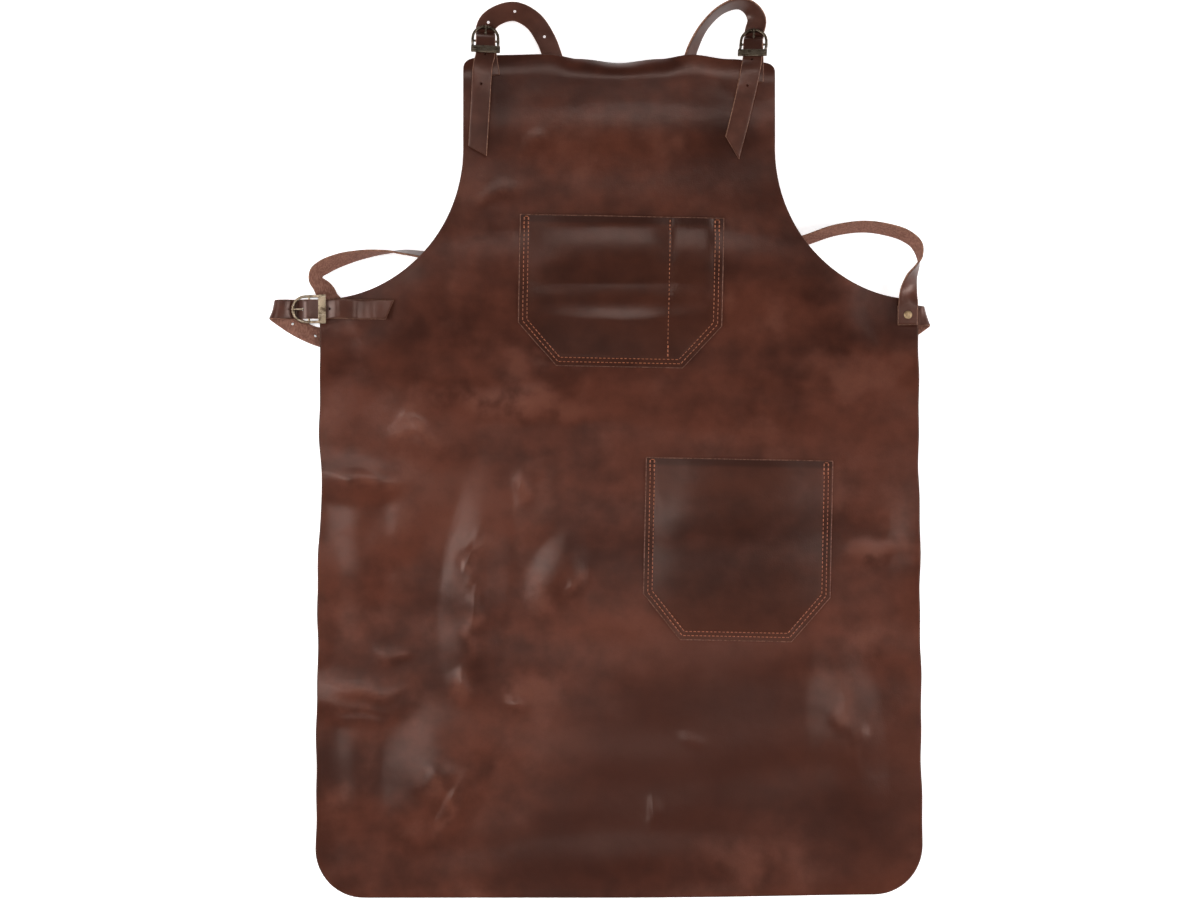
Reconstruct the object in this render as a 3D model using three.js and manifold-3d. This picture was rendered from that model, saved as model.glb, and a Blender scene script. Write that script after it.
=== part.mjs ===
// Leather work apron laid out flat on its back: a bib and skirt cut from one hide, two patch pockets,
// shoulder straps that cross behind the bib, and a waist strap that runs behind the skirt.
// Millimetres, +X to the wearer's left as seen from the front, +Y towards the bib, +Z up from the floor.
import * as THREE from "three";
import { mergeVertices } from "three/addons/utils/BufferGeometryUtils.js";
import Module from "manifold-3d";

const wasm = await Module();
wasm.setup();

// Driving sizes
const GAP = 0.3; // clearance between pieces that lie on each other
const BEND_GAP = 0.9; // the same where a wider piece follows the panel over a bend
const PANEL = {
  thickness: 2.0,
  hemHalf: 303, // half the width at the hem
  waistHalf: 298, // half the width at the waist corners
  bibHalf: 154.5, // half the width of the bib
  hemY: -297,
  waistY: 300,
  armholeRise: 150, // the armhole is a quarter ellipse from the waist corner to the bib's side
  bibY: 520, // where the bib's top edge starts to roll
  rollLength: 22,
  hemRadius: 48,
  bibRadius: 9,
  hemSkew: 3.5, // how much higher the hem lies on the +X side
};
const LIFT = { height: 27, footY: 170, topY: 325, wingFrom: 190, wingTo: 300, wingShare: 0.24 };
const STRAP = { width: 19.5, thickness: 2.2, holeRadius: 1.4 };
const TAB = { width: 19, thickness: 1.8, slotHalf: 1.8, slotReach: 4.6 };
const BUCKLE = {
  wire: 1.4, // radius of the frame's wire
  bar: 1.2, // radius of the bar that the prong turns on
  railHalf: 12.8, // middle of each side rail from the middle of the strap
  nose: -16.1, // middle of the wire at the round end
  keeperAt: 13.75, // middle of the keeper plate along the strap
  keeperLength: 29,
  keeperWidth: 7.5,
  keeperThickness: 1.6,
  keeperHeight: 9.0, // middle of the plate above the bar
};
const PRONG = { thickness: 2.0, ring: 2.9, tipX: -17.6, tipZ: 2.5, slack: 0.45 };
const RIVET = { dome: 4.2, rise: 1.9, cap: 3.6, capThickness: 0.9, shank: 1.6, hole: 1.95 };

const leather = (color, roughness = 0.5) => new THREE.MeshStandardMaterial({ color, roughness, metalness: 0 });
const MATERIALS = {
  panel: leather(0x57332a),
  pocket: leather(0x46291f, 0.45),
  strap: leather(0x54372f),
  brass: new THREE.MeshStandardMaterial({ color: 0xa79a86, roughness: 0.35, metalness: 1 }),
};

// Rows of a short table, each with its columns by name
const table = (columns, ...rows) =>
  rows.map((row) => Object.fromEntries(columns.map((name, i) => [name, row[i]])));

const radians = THREE.MathUtils.degToRad;
const mix = THREE.MathUtils.lerp;
const smooth = (from, to, value) => THREE.MathUtils.smoothstep(value, from, to);
const steps = (count) => Array.from({ length: count + 1 }, (_, i) => i / count);
const spaced = (from, to, count) => steps(count).map((t) => mix(from, to, t));

// Soft ridges and swells of the hide: middle, direction of the ridge, size of its foot, and height
const FOLDS = table(
  ["x", "y", "turn", "length", "width", "height"],
  [-268, 122, -4, 150, 62, 4.0], // crease that runs in from the left edge, upper
  [-268, -98, -5, 150, 64, 4.5], // crease that runs in from the left edge, lower
  [-143, 18, 84, 260, 74, 5.0], // long upright crease in the left half
  [-188, -178, 66, 170, 120, 5.5], // swell above the left hem corner
  [228, -138, 98, 240, 84, 5.0], // upright ridge in the right half
  [302, 52, 90, 170, 76, 4.5], // wave of the right edge
  [304, 258, 90, 104, 100, 5.5], // right edge where the waist strap goes under it
  [-304, 256, 90, 92, 100, 4.0], // left edge where the waist strap comes out under it
  [-303, 20, 90, 190, 60, 3.0], // wave of the left edge
  [-303, -190, 90, 170, 60, 3.5], // wave of the left edge near the hem
  [-60, 30, 60, 110, 60, 3.0], // dimpled swell near the middle
  [-196, 172, -30, 130, 90, 3.5], // swell below the left waist corner
  [72, 198, -4, 330, 66, 3.0], // cross ridge below the chest pocket
  [20, 478, 0, 330, 60, 2.5], // cross ridge of the bib
  [0, -262, 2, 420, 66, 2.5], // low wave above the hem
);

// Height of the folds at a point of the flat hide: each is a round-topped ridge that fades to nothing at its foot
function foldHeight(x, y) {
  return FOLDS.reduce((sum, fold) => {
    const turn = radians(fold.turn);
    const along = ((x - fold.x) * Math.cos(turn) + (y - fold.y) * Math.sin(turn)) / (fold.length / 2);
    const across = ((y - fold.y) * Math.cos(turn) - (x - fold.x) * Math.sin(turn)) / (fold.width / 2);
    const inside = Math.max(0, 1 - along * along - across * across);
    return sum + fold.height * inside * inside;
  }, 0);
}

// The crossed straps hold the bib up, and it slopes down to the floor in the skirt and towards the waist corners
function underside(x, y) {
  const wings = 1 - (1 - LIFT.wingShare) * smooth(LIFT.wingFrom, LIFT.wingTo, Math.abs(x));
  return LIFT.height * wings * smooth(LIFT.footY, LIFT.topY, y) + foldHeight(x, y);
}

// The bib's top edge rolls back most in the middle, and least where the straps come out under it
const ROLL = table(
  ["x", "angle", "topY"],
  [-155, 34, 538],
  [-123, 30, 542],
  [-70, 26, 543],
  [-40, 48, 538],
  [0, 78, 534],
  [40, 50, 538],
  [72, 24, 542.5],
  [110, 28, 538],
  [155, 34, 534],
);

function rollAt(x) {
  const last = ROLL.length - 1;
  const found = ROLL.findIndex((row) => row.x >= x);
  const i = THREE.MathUtils.clamp(found === -1 ? last : found, 1, last);
  const t = smooth(ROLL[i - 1].x, ROLL[i].x, x);
  const angle = radians(mix(ROLL[i - 1].angle, ROLL[i].angle, t));
  const reach = (PANEL.rollLength * Math.sin(angle)) / angle;
  return { angle, startY: mix(ROLL[i - 1].topY, ROLL[i].topY, t) - reach };
}

// The flat hide's point (x, s) where it lies, on its underside
function laidPoint(x, s) {
  const armholeTop = PANEL.waistY + PANEL.armholeRise;
  const roll = rollAt(x);
  const skew = PANEL.hemSkew * smooth(0, PANEL.hemHalf, x) * (1 - smooth(PANEL.hemY, 0, s));
  if (s <= armholeTop) return new THREE.Vector3(x, s + skew, underside(x, s));
  const share = Math.min(1, (s - armholeTop) / (PANEL.bibY - armholeTop));
  const y = mix(armholeTop, roll.startY, share);
  const turned = (Math.max(0, s - PANEL.bibY) / PANEL.rollLength) * roll.angle;
  const radius = PANEL.rollLength / roll.angle;
  return new THREE.Vector3(
    x,
    y + radius * Math.sin(turned),
    underside(x, y) - radius * (1 - Math.cos(turned)),
  );
}

// A point of the laid hide and its normal, at a height above the underside
function onPanel(x, s, height = 0) {
  const step = 1.5;
  const point = laidPoint(x, s);
  const alongX = laidPoint(x + step, s).sub(laidPoint(x - step, s));
  const alongS = laidPoint(x, s + step).sub(laidPoint(x, s - step));
  const normal = alongX.cross(alongS).normalize();
  return { point: point.addScaledVector(normal, height), normal };
}

// Half the width of the cut hide at a distance s up its middle
function halfWidth(s) {
  const { hemY, hemHalf, hemRadius, waistY, waistHalf, armholeRise, bibHalf, bibRadius } = PANEL;
  const topS = PANEL.bibY + PANEL.rollLength;
  const corner = (radius, depth) => radius - Math.sqrt(Math.max(0, radius ** 2 - Math.max(0, depth) ** 2));
  if (s <= waistY) {
    const side = mix(hemHalf, waistHalf, (s - hemY) / (waistY - hemY));
    return side - corner(hemRadius, hemY + hemRadius - s);
  }
  const left = Math.max(0, 1 - (s - waistY) / armholeRise);
  const armhole = waistHalf - (waistHalf - bibHalf) * Math.sqrt(1 - left * left);
  return armhole - corner(bibRadius, s - (topS - bibRadius));
}

// Closed wall over a grid of parameters: place(u, v, side) gives the point of its lower (0) or upper (1) side
function wall(us, vs, place) {
  const columns = us.length;
  const layer = columns * vs.length;
  const points = [0, 1].flatMap((side) => vs.flatMap((v) => us.map((u) => place(u, v, side))));
  const at = (i, j, side) => side * layer + j * columns + i;
  const faces = [];
  const quad = (a, b, c, d) => faces.push(a, b, c, a, c, d);
  for (let j = 0; j < vs.length - 1; j++)
    for (let i = 0; i < columns - 1; i++) {
      quad(at(i, j, 1), at(i + 1, j, 1), at(i + 1, j + 1, 1), at(i, j + 1, 1));
      quad(at(i, j, 0), at(i, j + 1, 0), at(i + 1, j + 1, 0), at(i + 1, j, 0));
    }
  const lastColumn = columns - 1;
  const lastRow = vs.length - 1;
  for (let j = 0; j < lastRow; j++) {
    quad(at(0, j, 0), at(0, j, 1), at(0, j + 1, 1), at(0, j + 1, 0));
    quad(at(lastColumn, j, 0), at(lastColumn, j + 1, 0), at(lastColumn, j + 1, 1), at(lastColumn, j, 1));
  }
  for (let i = 0; i < lastColumn; i++) {
    quad(at(i, 0, 0), at(i + 1, 0, 0), at(i + 1, 0, 1), at(i, 0, 1));
    quad(at(i, lastRow, 0), at(i, lastRow, 1), at(i + 1, lastRow, 1), at(i + 1, lastRow, 0));
  }
  const geometry = new THREE.BufferGeometry().setFromPoints(points);
  return geometry.setIndex(faces);
}

// Joins and cuts
function toSolid(geometry) {
  const bare = new THREE.BufferGeometry().setAttribute("position", geometry.getAttribute("position"));
  bare.setIndex(geometry.index);
  const merged = mergeVertices(bare, 1e-3);
  const kept = [];
  for (let i = 0; i < merged.index.count; i += 3) {
    const [a, b, c] = merged.index.array.subarray(i, i + 3);
    if (a !== b && b !== c && a !== c) kept.push(a, b, c);
  }
  return new wasm.Manifold(
    new wasm.Mesh({
      numProp: 3,
      vertProperties: merged.getAttribute("position").array,
      triVerts: new Uint32Array(kept),
    }),
  );
}

function toGeometry(solid) {
  const mesh = solid.getMesh();
  return new THREE.BufferGeometry()
    .setAttribute("position", new THREE.BufferAttribute(mesh.vertProperties, 3))
    .setIndex(new THREE.BufferAttribute(mesh.triVerts, 1));
}

const cut = (geometry, ...tools) =>
  toGeometry(tools.reduce((solid, tool) => solid.subtract(toSolid(tool)), toSolid(geometry)));
const join = (first, ...others) =>
  toGeometry(others.reduce((solid, other) => solid.add(toSolid(other)), toSolid(first)));

// Upright round pin of 8 sides, turned to stand along an axis
function pin(radius, length, middle, axis, sides = 8) {
  const turn = new THREE.Quaternion().setFromUnitVectors(new THREE.Vector3(0, 1, 0), axis);
  return new THREE.CylinderGeometry(radius, radius, length, sides)
    .applyQuaternion(turn)
    .translate(middle.x, middle.y, middle.z);
}

// A strip of leather along stations. Each has a place and the direction of the strip's left edge, which lies
// to the left of its travel where the grain side is up.
class Strip {
  constructor(stations, { width, thickness, startSlant = 0, endSlant = 0 }) {
    Object.assign(this, { width, thickness, startSlant, endSlant });
    this.path = new THREE.CatmullRomCurve3(stations.map((s) => s.point), false, "centripetal");
    this.path.arcLengthDivisions = 40 * stations.length;
    this.edges = new THREE.CatmullRomCurve3(stations.map((s) => s.edge), false, "catmullrom", 0.4);
    this.sections = this.spaceSections(stations.length - 1);
  }

  // More sections where the strip turns or twists, fewer along straight runs
  spaceSections(spans) {
    const [longest, sharpest, probes] = [24, radians(27), 6];
    const found = [0];
    for (let k = 0; k < spans; k++) {
      let length = 0;
      let turn = 0;
      for (let p = 0; p < probes; p++) {
        const here = this.frame((k + p / probes) / spans);
        const next = this.frame((k + (p + 1) / probes) / spans);
        length += here.middle.distanceTo(next.middle);
        turn += here.normal.angleTo(next.normal) + here.along.angleTo(next.along) / 3;
      }
      const count = Math.max(1, Math.ceil(length / longest), Math.ceil(turn / sharpest));
      for (let i = 1; i <= count; i++) found.push((k + i / count) / spans);
    }
    return found;
  }

  frame(t) {
    const middle = this.path.getPoint(t);
    const along = this.path.getTangent(t);
    const left = this.edges.getPoint(t);
    left.addScaledVector(along, -left.dot(along)).normalize();
    return { middle, along, left, normal: along.clone().cross(left) };
  }

  geometry() {
    return wall([1, -1], this.sections, (u, t, side) => {
      const { middle, along, left, normal } = this.frame(t);
      const slant = t === 0 ? -this.startSlant : t === 1 ? this.endSlant : 0;
      return middle
        .clone()
        .addScaledVector(left, (u * this.width) / 2)
        .addScaledVector(normal, (side - 0.5) * this.thickness)
        .addScaledVector(along, (u * slant) / 2);
    });
  }

  // Punch for a round hole at a distance from the tail end
  punch(fromEnd) {
    const { middle, normal } = this.frame(this.path.getUtoTmapping(0, this.path.getLength() - fromEnd));
    return pin(STRAP.holeRadius, 3 * this.thickness, middle, normal);
  }
}

// A station from a row: x, y, z, the compass direction of the left edge, and how far that edge is raised
function station({ x, y, z, edge, tilt }) {
  const flat = Math.cos(radians(tilt));
  return {
    point: new THREE.Vector3(x, y, z),
    edge: new THREE.Vector3(
      flat * Math.cos(radians(edge)),
      flat * Math.sin(radians(edge)),
      Math.sin(radians(tilt)),
    ),
  };
}
const ROUTE = ["x", "y", "z", "edge", "tilt"];

// A station that lies along the panel, at a height above its underside
function panelStation(x, s, height, edge) {
  const { point, normal } = onPanel(x, s, height);
  return { point, edge: edge.clone().addScaledVector(normal, -edge.dot(normal)).normalize() };
}
const route = (...rows) => table(ROUTE, ...rows).map(station);

const apron = new THREE.Group();
const addPiece = (parent, name, geometry, material) => {
  const piece = new THREE.Mesh(geometry, material);
  piece.name = name;
  parent.add(piece);
  return piece;
};

// Where each buckle hangs: the point (x, s) of the panel's edge that its tab folds over, the tab's compass
// direction and length on the panel, the bar's distance from the edge, the compass direction from the buckle's
// round end to its keeper, the pitch of that direction, and how far the strap's left edge is rolled up
const BUCKLES = {
  bib_left: { x: -131, s: 542, tab: -82, leg: 21, reach: 17.4, heading: -91, pitch: 24, roll: -4 },
  bib_right: { x: 134, s: 542, tab: -90, leg: 21, reach: 19.5, heading: -93, pitch: 23, roll: 7 },
  waist: { x: -298.1, s: 290.5, tab: 0, leg: 24, reach: 11.4, heading: 0, pitch: 2, roll: 0 },
};

function buckleGroup({ x, s, tab, reach, heading, pitch, roll }) {
  const group = new THREE.Group();
  group.rotation.set(radians(roll), radians(-pitch), radians(heading), "ZYX");
  const tabTurn = new THREE.Euler(0, radians(-pitch), radians(tab), "ZYX");
  const back = new THREE.Vector3(-reach, 0, 0).applyEuler(tabTurn);
  group.position.copy(onPanel(x, s, PANEL.thickness / 2).point).add(back);
  group.updateMatrixWorld(true);
  return group;
}

// Round-ended frame with a flat keeper plate raised over the strap, and the bar across its middle
function frameGeometry() {
  const { wire, bar, railHalf, nose, keeperAt, keeperLength, keeperWidth, keeperThickness, keeperHeight } = BUCKLE;
  const rail = table(
    ["x", "y", "z"],
    [keeperAt, railHalf, keeperHeight],
    [9.5, railHalf, 7.0],
    [4.0, railHalf, 1.6],
    [-1.5, railHalf, 0],
    [-8.0, 0.93 * railHalf, 0],
    [-13.2, 0.66 * railHalf, 0],
    [-15.7, 0.27 * railHalf, 0],
  ).map(({ x, y, z }) => new THREE.Vector3(x, y, z));
  const mirrored = rail.map((p) => new THREE.Vector3(p.x, -p.y, p.z)).reverse();
  const loop = new THREE.CatmullRomCurve3([...rail, new THREE.Vector3(nose, 0, 0), ...mirrored]);
  const section = new THREE.Shape(new THREE.EllipseCurve(0, 0, wire, wire).getPoints(6).slice(0, 6));
  const hoop = new THREE.ExtrudeGeometry(section, { steps: 20, extrudePath: loop, bevelEnabled: false });
  const plate = new THREE.BoxGeometry(keeperWidth, keeperLength, keeperThickness);
  plate.translate(keeperAt, 0, keeperHeight);
  const across = new THREE.Vector3(0, 1, 0);
  return join(hoop, plate, pin(bar, 2 * railHalf, new THREE.Vector3(), across));
}

// Prong: a ring round the bar and a tapered arm that rests on the frame's round end
function prongGeometry(slack = 0) {
  const { thickness, ring, tipX, tipZ } = PRONG;
  const half = 0.5 * thickness + slack;
  const outline = new THREE.Shape();
  outline.absarc(0, 0, ring + slack, radians(195), radians(95 + 360));
  outline.lineTo(tipX - slack, tipZ + 0.75 * half);
  outline.lineTo(tipX - slack, tipZ - 0.75 * half);
  outline.closePath();
  if (!slack) outline.holes.push(new THREE.Path().absarc(0, 0, BUCKLE.bar + 0.25, 0, radians(360), true));
  const arm = new THREE.ExtrudeGeometry(outline, { depth: 2 * half, curveSegments: 6, bevelEnabled: false });
  return arm.rotateX(radians(90)).translate(0, half, 0);
}

// Tab: a strip that starts under the panel, wraps the buckle's bar and ends on the panel's front
function tabStrip(spec, group) {
  const [inX, inS] = [Math.cos(radians(spec.tab)), Math.sin(radians(spec.tab))];
  const edge = new THREE.Vector3(0, 1, 0).applyQuaternion(group.quaternion);
  const side = new THREE.Vector3(-inS, inX, 0);
  const middle = 0.5 * TAB.thickness + BEND_GAP;
  const leg = (height) =>
    [1, 0.66, 0.38, 0.12].map((share) => {
      const depth = share * spec.leg;
      return panelStation(spec.x + inX * depth, spec.s + inS * depth, height, side);
    });
  const wrap = BUCKLE.bar + 0.25 + 0.5 * TAB.thickness;
  const bend = [-90, -135, 180, 135, 90].map((angle) => ({
    point: group.localToWorld(
      new THREE.Vector3(wrap * Math.cos(radians(angle)), 0, wrap * Math.sin(radians(angle))),
    ),
    edge,
  }));
  const front = leg(PANEL.thickness + middle).reverse();
  return new Strip([...leg(-middle), ...bend, ...front], { width: TAB.width, thickness: TAB.thickness });
}

// The strap's way through a buckle: under the round end, over the bar and under the keeper plate
const THREADING = table(
  ["along", "above"],
  [-16.1, -3.6],
  [-11.2, -3.7],
  [-7.4, 0.2],
  [-4.7, 2.9],
  [-2.2, 4.6],
  [2.0, 5.3],
  [7.5, 5.6],
  [13.75, 6.0],
  [19.5, 6.8],
);
const threaded = (group) =>
  THREADING.map(({ along, above }) => ({
    point: group.localToWorld(new THREE.Vector3(along, 0, above)),
    edge: new THREE.Vector3(0, 1, 0).applyQuaternion(group.quaternion),
  }));

// Rivet: a domed head on the front, a shank through every layer and a flat cap behind
function rivetGeometry(grip) {
  const { dome, rise, cap, capThickness, shank } = RIVET;
  const profile = table(
    ["radius", "height"],
    [0, -capThickness],
    [cap, -capThickness],
    [cap, 0],
    [shank, 0],
    [shank, grip],
    [dome, grip],
    [0.93 * dome, grip + 0.5 * rise],
    [0.6 * dome, grip + 0.88 * rise],
    [0, grip + rise],
  ).map((row) => new THREE.Vector2(row.radius, row.height));
  const turned = new THREE.LatheGeometry(profile, 10).rotateX(radians(90));
  return toGeometry(toSolid(turned));
}

const tabLayer = BEND_GAP + TAB.thickness;

// A rivet through the panel at (x, s): how far its layers reach below and above the panel's underside
const RIVETS = {
  bib_left: { x: -130.2, s: 527, below: tabLayer, above: PANEL.thickness + tabLayer },
  bib_right: { x: 134, s: 527, below: tabLayer, above: PANEL.thickness + tabLayer },
  waist_left: { x: -280, s: 290.5, below: tabLayer + GAP + STRAP.thickness, above: PANEL.thickness + tabLayer },
  waist_right: { x: 288, s: 284, below: GAP, above: PANEL.thickness + 2 * (BEND_GAP + STRAP.thickness) },
};

function rivetPlace({ x, s, below }) {
  const { point, normal } = onPanel(x, s, -below - GAP);
  return { point, normal, turn: new THREE.Quaternion().setFromUnitVectors(new THREE.Vector3(0, 0, 1), normal) };
}
const rivetHole = (spec) => {
  const { point, normal } = rivetPlace(spec);
  return pin(RIVET.hole, 40, point, normal);
};

// Panel: the bib and skirt in one piece
function panelGeometry() {
  const { hemY, hemRadius, waistY, armholeRise, bibY, rollLength, thickness } = PANEL;
  const quarter = (from, size, count) => steps(count).map((t) => from + size * (1 - Math.cos((t * Math.PI) / 2)));
  const rows = [
    ...quarter(hemY, hemRadius, 4),
    ...spaced(hemY + hemRadius, LIFT.footY, 14).slice(1),
    ...spaced(LIFT.footY, waistY, 6).slice(1),
    ...quarter(waistY, armholeRise, 8).slice(1),
    ...spaced(waistY + armholeRise, bibY, 4).slice(1),
    ...[0.2, 0.4, 0.6, 0.76, 0.9, 1].map((t) => bibY + t * rollLength),
  ];
  const half = [0.1, 0.2, 0.3, 0.4, 0.5, 0.6, 0.7, 0.79, 0.87, 0.93, 0.97, 1];
  const columns = [...half.map((u) => -u).reverse(), 0, ...half];
  const hide = wall(columns, rows, (u, s, side) => onPanel(u * halfWidth(s), s, side * thickness).point);
  return cut(hide, ...Object.values(RIVETS).map(rivetHole));
}

// Patch pockets: the middle of the mouth, size, cut corners, turn in the plane, how far the mouth gapes,
// and the pen divider's distance from the middle (0 where there is none)
const POCKETS = {
  chest: { x: 3, y: 382, width: 202, depth: 148, cornerX: 38, cornerY: 42, turn: -1.1, gape: 9.5, divider: 48 },
  hip: { x: 120.5, y: 140.5, width: 186, depth: 181, cornerX: 37.5, cornerY: 45, turn: -1.2, gape: 10, divider: 0 },
};
const SEAM = 9; // width of the sewn margin, which lies on the panel

// How far a pocket stands off the panel: nothing on the seams, and most in the middle of the mouth
function pocketGape(pocket, x, fromMouth) {
  const { width, depth, cornerX, cornerY, gape, divider } = pocket;
  const half = width / 2 - SEAM;
  const sides = divider ? [-half, divider, half] : [-half, half];
  const cell = sides.findIndex((side) => x <= side);
  if (cell < 1) return 0;
  const [from, to] = [sides[cell - 1], sides[cell]];
  const across = (2 * x - from - to) / (to - from);
  const fromCorner = (width / 2 - Math.abs(x)) / cornerX + (depth - fromMouth) / cornerY - 1;
  const up = Math.min((depth - SEAM - fromMouth) / (depth - SEAM), fromCorner);
  const share = Math.min(1, (to - from) / (1.15 * half));
  return gape * Math.sqrt(share) * (1 - across ** 4) * Math.max(0, up) ** 0.75;
}

function pocketGeometry(pocket) {
  const { x, y, width, depth, cornerX, cornerY, turn } = pocket;
  const [cos, sin] = [Math.cos(radians(turn)), Math.sin(radians(turn))];
  const dividers = pocket.divider ? [pocket.divider] : [];
  const half = width / 2;
  const edges = [-half, -half + SEAM, ...dividers, half - SEAM, half];
  const columns = edges.slice(1).flatMap((to, i) => {
    const from = edges[i];
    return spaced(from, to, Math.max(1, Math.round((to - from) / 17))).slice(1);
  });
  const fractions = [-half, ...columns].map((edge) => edge / half);
  const levels = [...spaced(0, depth - cornerY, 6), ...spaced(depth - cornerY, depth, 4).slice(1)];
  return wall(fractions, levels.reverse(), (u, fromMouth, side) => {
    const narrowed = (cornerX * Math.max(0, fromMouth - (depth - cornerY))) / cornerY;
    const localX = u * (half - narrowed);
    const height = PANEL.thickness * (1 + side) + BEND_GAP + pocketGape(pocket, localX, fromMouth);
    return onPanel(x + localX * cos + fromMouth * sin, y + localX * sin - fromMouth * cos, height).point;
  });
}

// Strap routes, from each strap's sewn end to its free tail
const groups = Object.fromEntries(Object.entries(BUCKLES).map(([name, spec]) => [name, buckleGroup(spec)]));
const firstLayer = PANEL.thickness + BEND_GAP + 0.5 * STRAP.thickness;
const secondLayer = firstLayer + BEND_GAP + STRAP.thickness;
const behindTab = -BEND_GAP - TAB.thickness - GAP - 0.5 * STRAP.thickness;
const stacked = (x, s, height, edge) => panelStation(x, s, height, station({ edge, tilt: 0 }).edge);

const STRAPS = {
  // from the right waist corner behind the bib to the buckle on its left
  shoulder_strap_left: {
    stations: [
      stacked(288, 275, secondLayer, 180),
      stacked(288, 285, secondLayer, 180),
      stacked(288, 295, secondLayer, 180),
      ...route(
        [289, 309, 11.8, 180, 28],
        [292, 322, 11.6, 180, 52],
        [298, 334, 11.2, 180, 78],
        [300, 343, 11.0, 0, 78],
        [297, 355, 10.2, 20, 58],
        [286, 364, 9.6, 48, 54],
        [268, 370, 9.6, 72, 56],
        [244, 373, 9.8, 88, 58],
        [214, 369, 10.0, 100, 60],
        [184, 359, 10.2, 108, 62],
        [146, 350, 10.6, 100, 66],
        [104, 354, 11.2, 80, 74],
        [66, 371, 11.6, 58, 84],
        [34, 396, 12.2, 225, 70],
        [6, 428, 12.2, 222, 48],
        [-22, 464, 8.6, 218, 26],
        [-46, 500, 5.6, 210, 10],
        [-62, 531, 4.6, 200, 0],
        [-73, 560, 4.6, 202, -2],
        [-86, 579, 4.8, 225, -6],
        [-104, 588, 6.0, 268, -10],
        [-119.5, 585, 6.4, 304, -8],
        [-130, 577.8, 5.8, 334, -2],
      ),
      ...threaded(groups.bib_left),
      ...route(
        [-135.2, 533, 33.8, 0, 2],
        [-136.4, 518, 36.2, 0, 8],
        [-137.6, 495, 36.8, 0, 12],
        [-139.2, 470, 35.6, 0, 12],
        [-140.6, 447.5, 34.0, 0, 12],
      ),
    ],
    endSlant: 9,
    holes: [66, 97.5, 143, 172.5, 213],
    buckle: "bib_left",
    rivets: ["waist_right"],
  },
  // from behind the left waist corner, behind the bib, to the buckle on its right
  shoulder_strap_right: {
    stations: [
      stacked(-271, 282, behindTab, 42),
      stacked(-280, 290.5, behindTab, 40),
      stacked(-290, 300.5, behindTab - 0.3, 36),
      ...route(
        [-292.5, 306.5, 2.3, 36, -3],
        [-298.8, 314, 7.6, 28, -42],
        [-303.4, 320.5, 9.6, 8, -54],
        [-301.5, 327.5, 9.2, -20, -46],
        [-294, 333, 9.0, -44, -42],
        [-279, 339.5, 9.6, -62, -50],
        [-258, 344.8, 10.8, -74, -66],
        [-234, 347.6, 11.4, -88, -84],
        [-213, 347.2, 11.2, 92, -76],
        [-188, 344, 10.6, 96, -66],
        [-146, 341, 10.0, 92, -58],
        [-100, 348, 8.6, 104, -46],
        [-54, 370, 5.8, 122, -26],
        [-12, 404, 2.7, 136, -6],
        [26, 446, 2.6, 142, 4],
        [52, 492, 5.8, 152, 28],
        [66, 526, 9.2, 164, 52],
        [74, 552, 10.0, 158, 60],
        [86, 574, 10.0, 138, 68],
        [103, 590, 10.0, 118, 68],
        [120, 595.6, 9.6, 92, 60],
        [132, 590, 8.6, 52, 42],
        [137.6, 579.5, 6.4, 12, 18],
      ),
      ...threaded(groups.bib_right),
      ...route(
        [131, 530, 34.2, -6, -2],
        [128, 515, 36.4, -10, -8],
        [123.6, 495, 37.0, -12, -12],
        [118, 472, 36.2, -12, -12],
        [112.4, 450.5, 34.8, -12, -12],
      ),
    ],
    endSlant: 19,
    holes: [63, 91.5],
    buckle: "bib_right",
    rivets: ["waist_left"],
  },
  // from the right waist corner, round the panel's edge and behind it, to the buckle at the left waist corner
  waist_strap: {
    stations: [
      stacked(278, 284, firstLayer, 90),
      stacked(288, 284, firstLayer, 90),
      stacked(297, 284, firstLayer, 90),
      ...route(
        [301.3, 284, 12.0, 90, 0],
        [304.8, 283.9, 10.6, 95, -12],
        [306.5, 283.2, 7.3, 108, -18],
        [305.5, 281.6, 4.0, 120, -12],
        [302.7, 279.5, 2.6, 125, 0],
        [292, 272, 2.0, 122, 0],
        [279, 265.4, 1.6, 108, 0],
        [264, 263.1, 1.4, 94, 0],
        [230, 263, 1.4, 90, 0],
        [0, 263, 1.4, 90, 0],
        [-230, 261, 1.4, 90, 0],
        [-262, 261, 1.4, 90, 0],
        [-278, 261, 1.6, 90, 0],
        [-296, 262, 3.2, 86, -10],
        [-310, 266.5, 5.6, 68, -26],
        [-324, 274.5, 3.4, 60, -12],
        [-335, 282, 1.9, 57, -2],
        [-342.4, 287.2, 2.8, 62, -6],
        [-345.4, 289.4, 5.8, 72, -16],
        [-342.4, 290.4, 8.6, 86, -8],
        [-335, 290.6, 7.4, 90, 0],
      ),
      ...threaded(groups.waist),
      ...route(
        [-280, 291, 16.8, 90, 2],
        [-262, 290.2, 19.0, 90, 4],
        [-245, 289.9, 22.0, 90, 5],
        [-228.5, 289.6, 25.0, 90, 6],
      ),
    ],
    endSlant: 8,
    holes: [61, 150, 176],
    buckle: "waist",
    rivets: ["waist_right"],
  },
};

addPiece(apron, "apron_panel", panelGeometry(), MATERIALS.panel);
addPiece(apron, "chest_pocket", pocketGeometry(POCKETS.chest), MATERIALS.pocket);
addPiece(apron, "hip_pocket", pocketGeometry(POCKETS.hip), MATERIALS.pocket);

for (const [name, { stations, endSlant, holes, buckle, rivets }] of Object.entries(STRAPS)) {
  const strip = new Strip(stations, { ...STRAP, endSlant });
  const prongHole = prongGeometry(PRONG.slack).applyMatrix4(groups[buckle].matrixWorld);
  const punches = [...holes.map((d) => strip.punch(d)), ...rivets.map((r) => rivetHole(RIVETS[r]))];
  addPiece(apron, name, cut(strip.geometry(), prongHole, ...punches), MATERIALS.strap);
}

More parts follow.
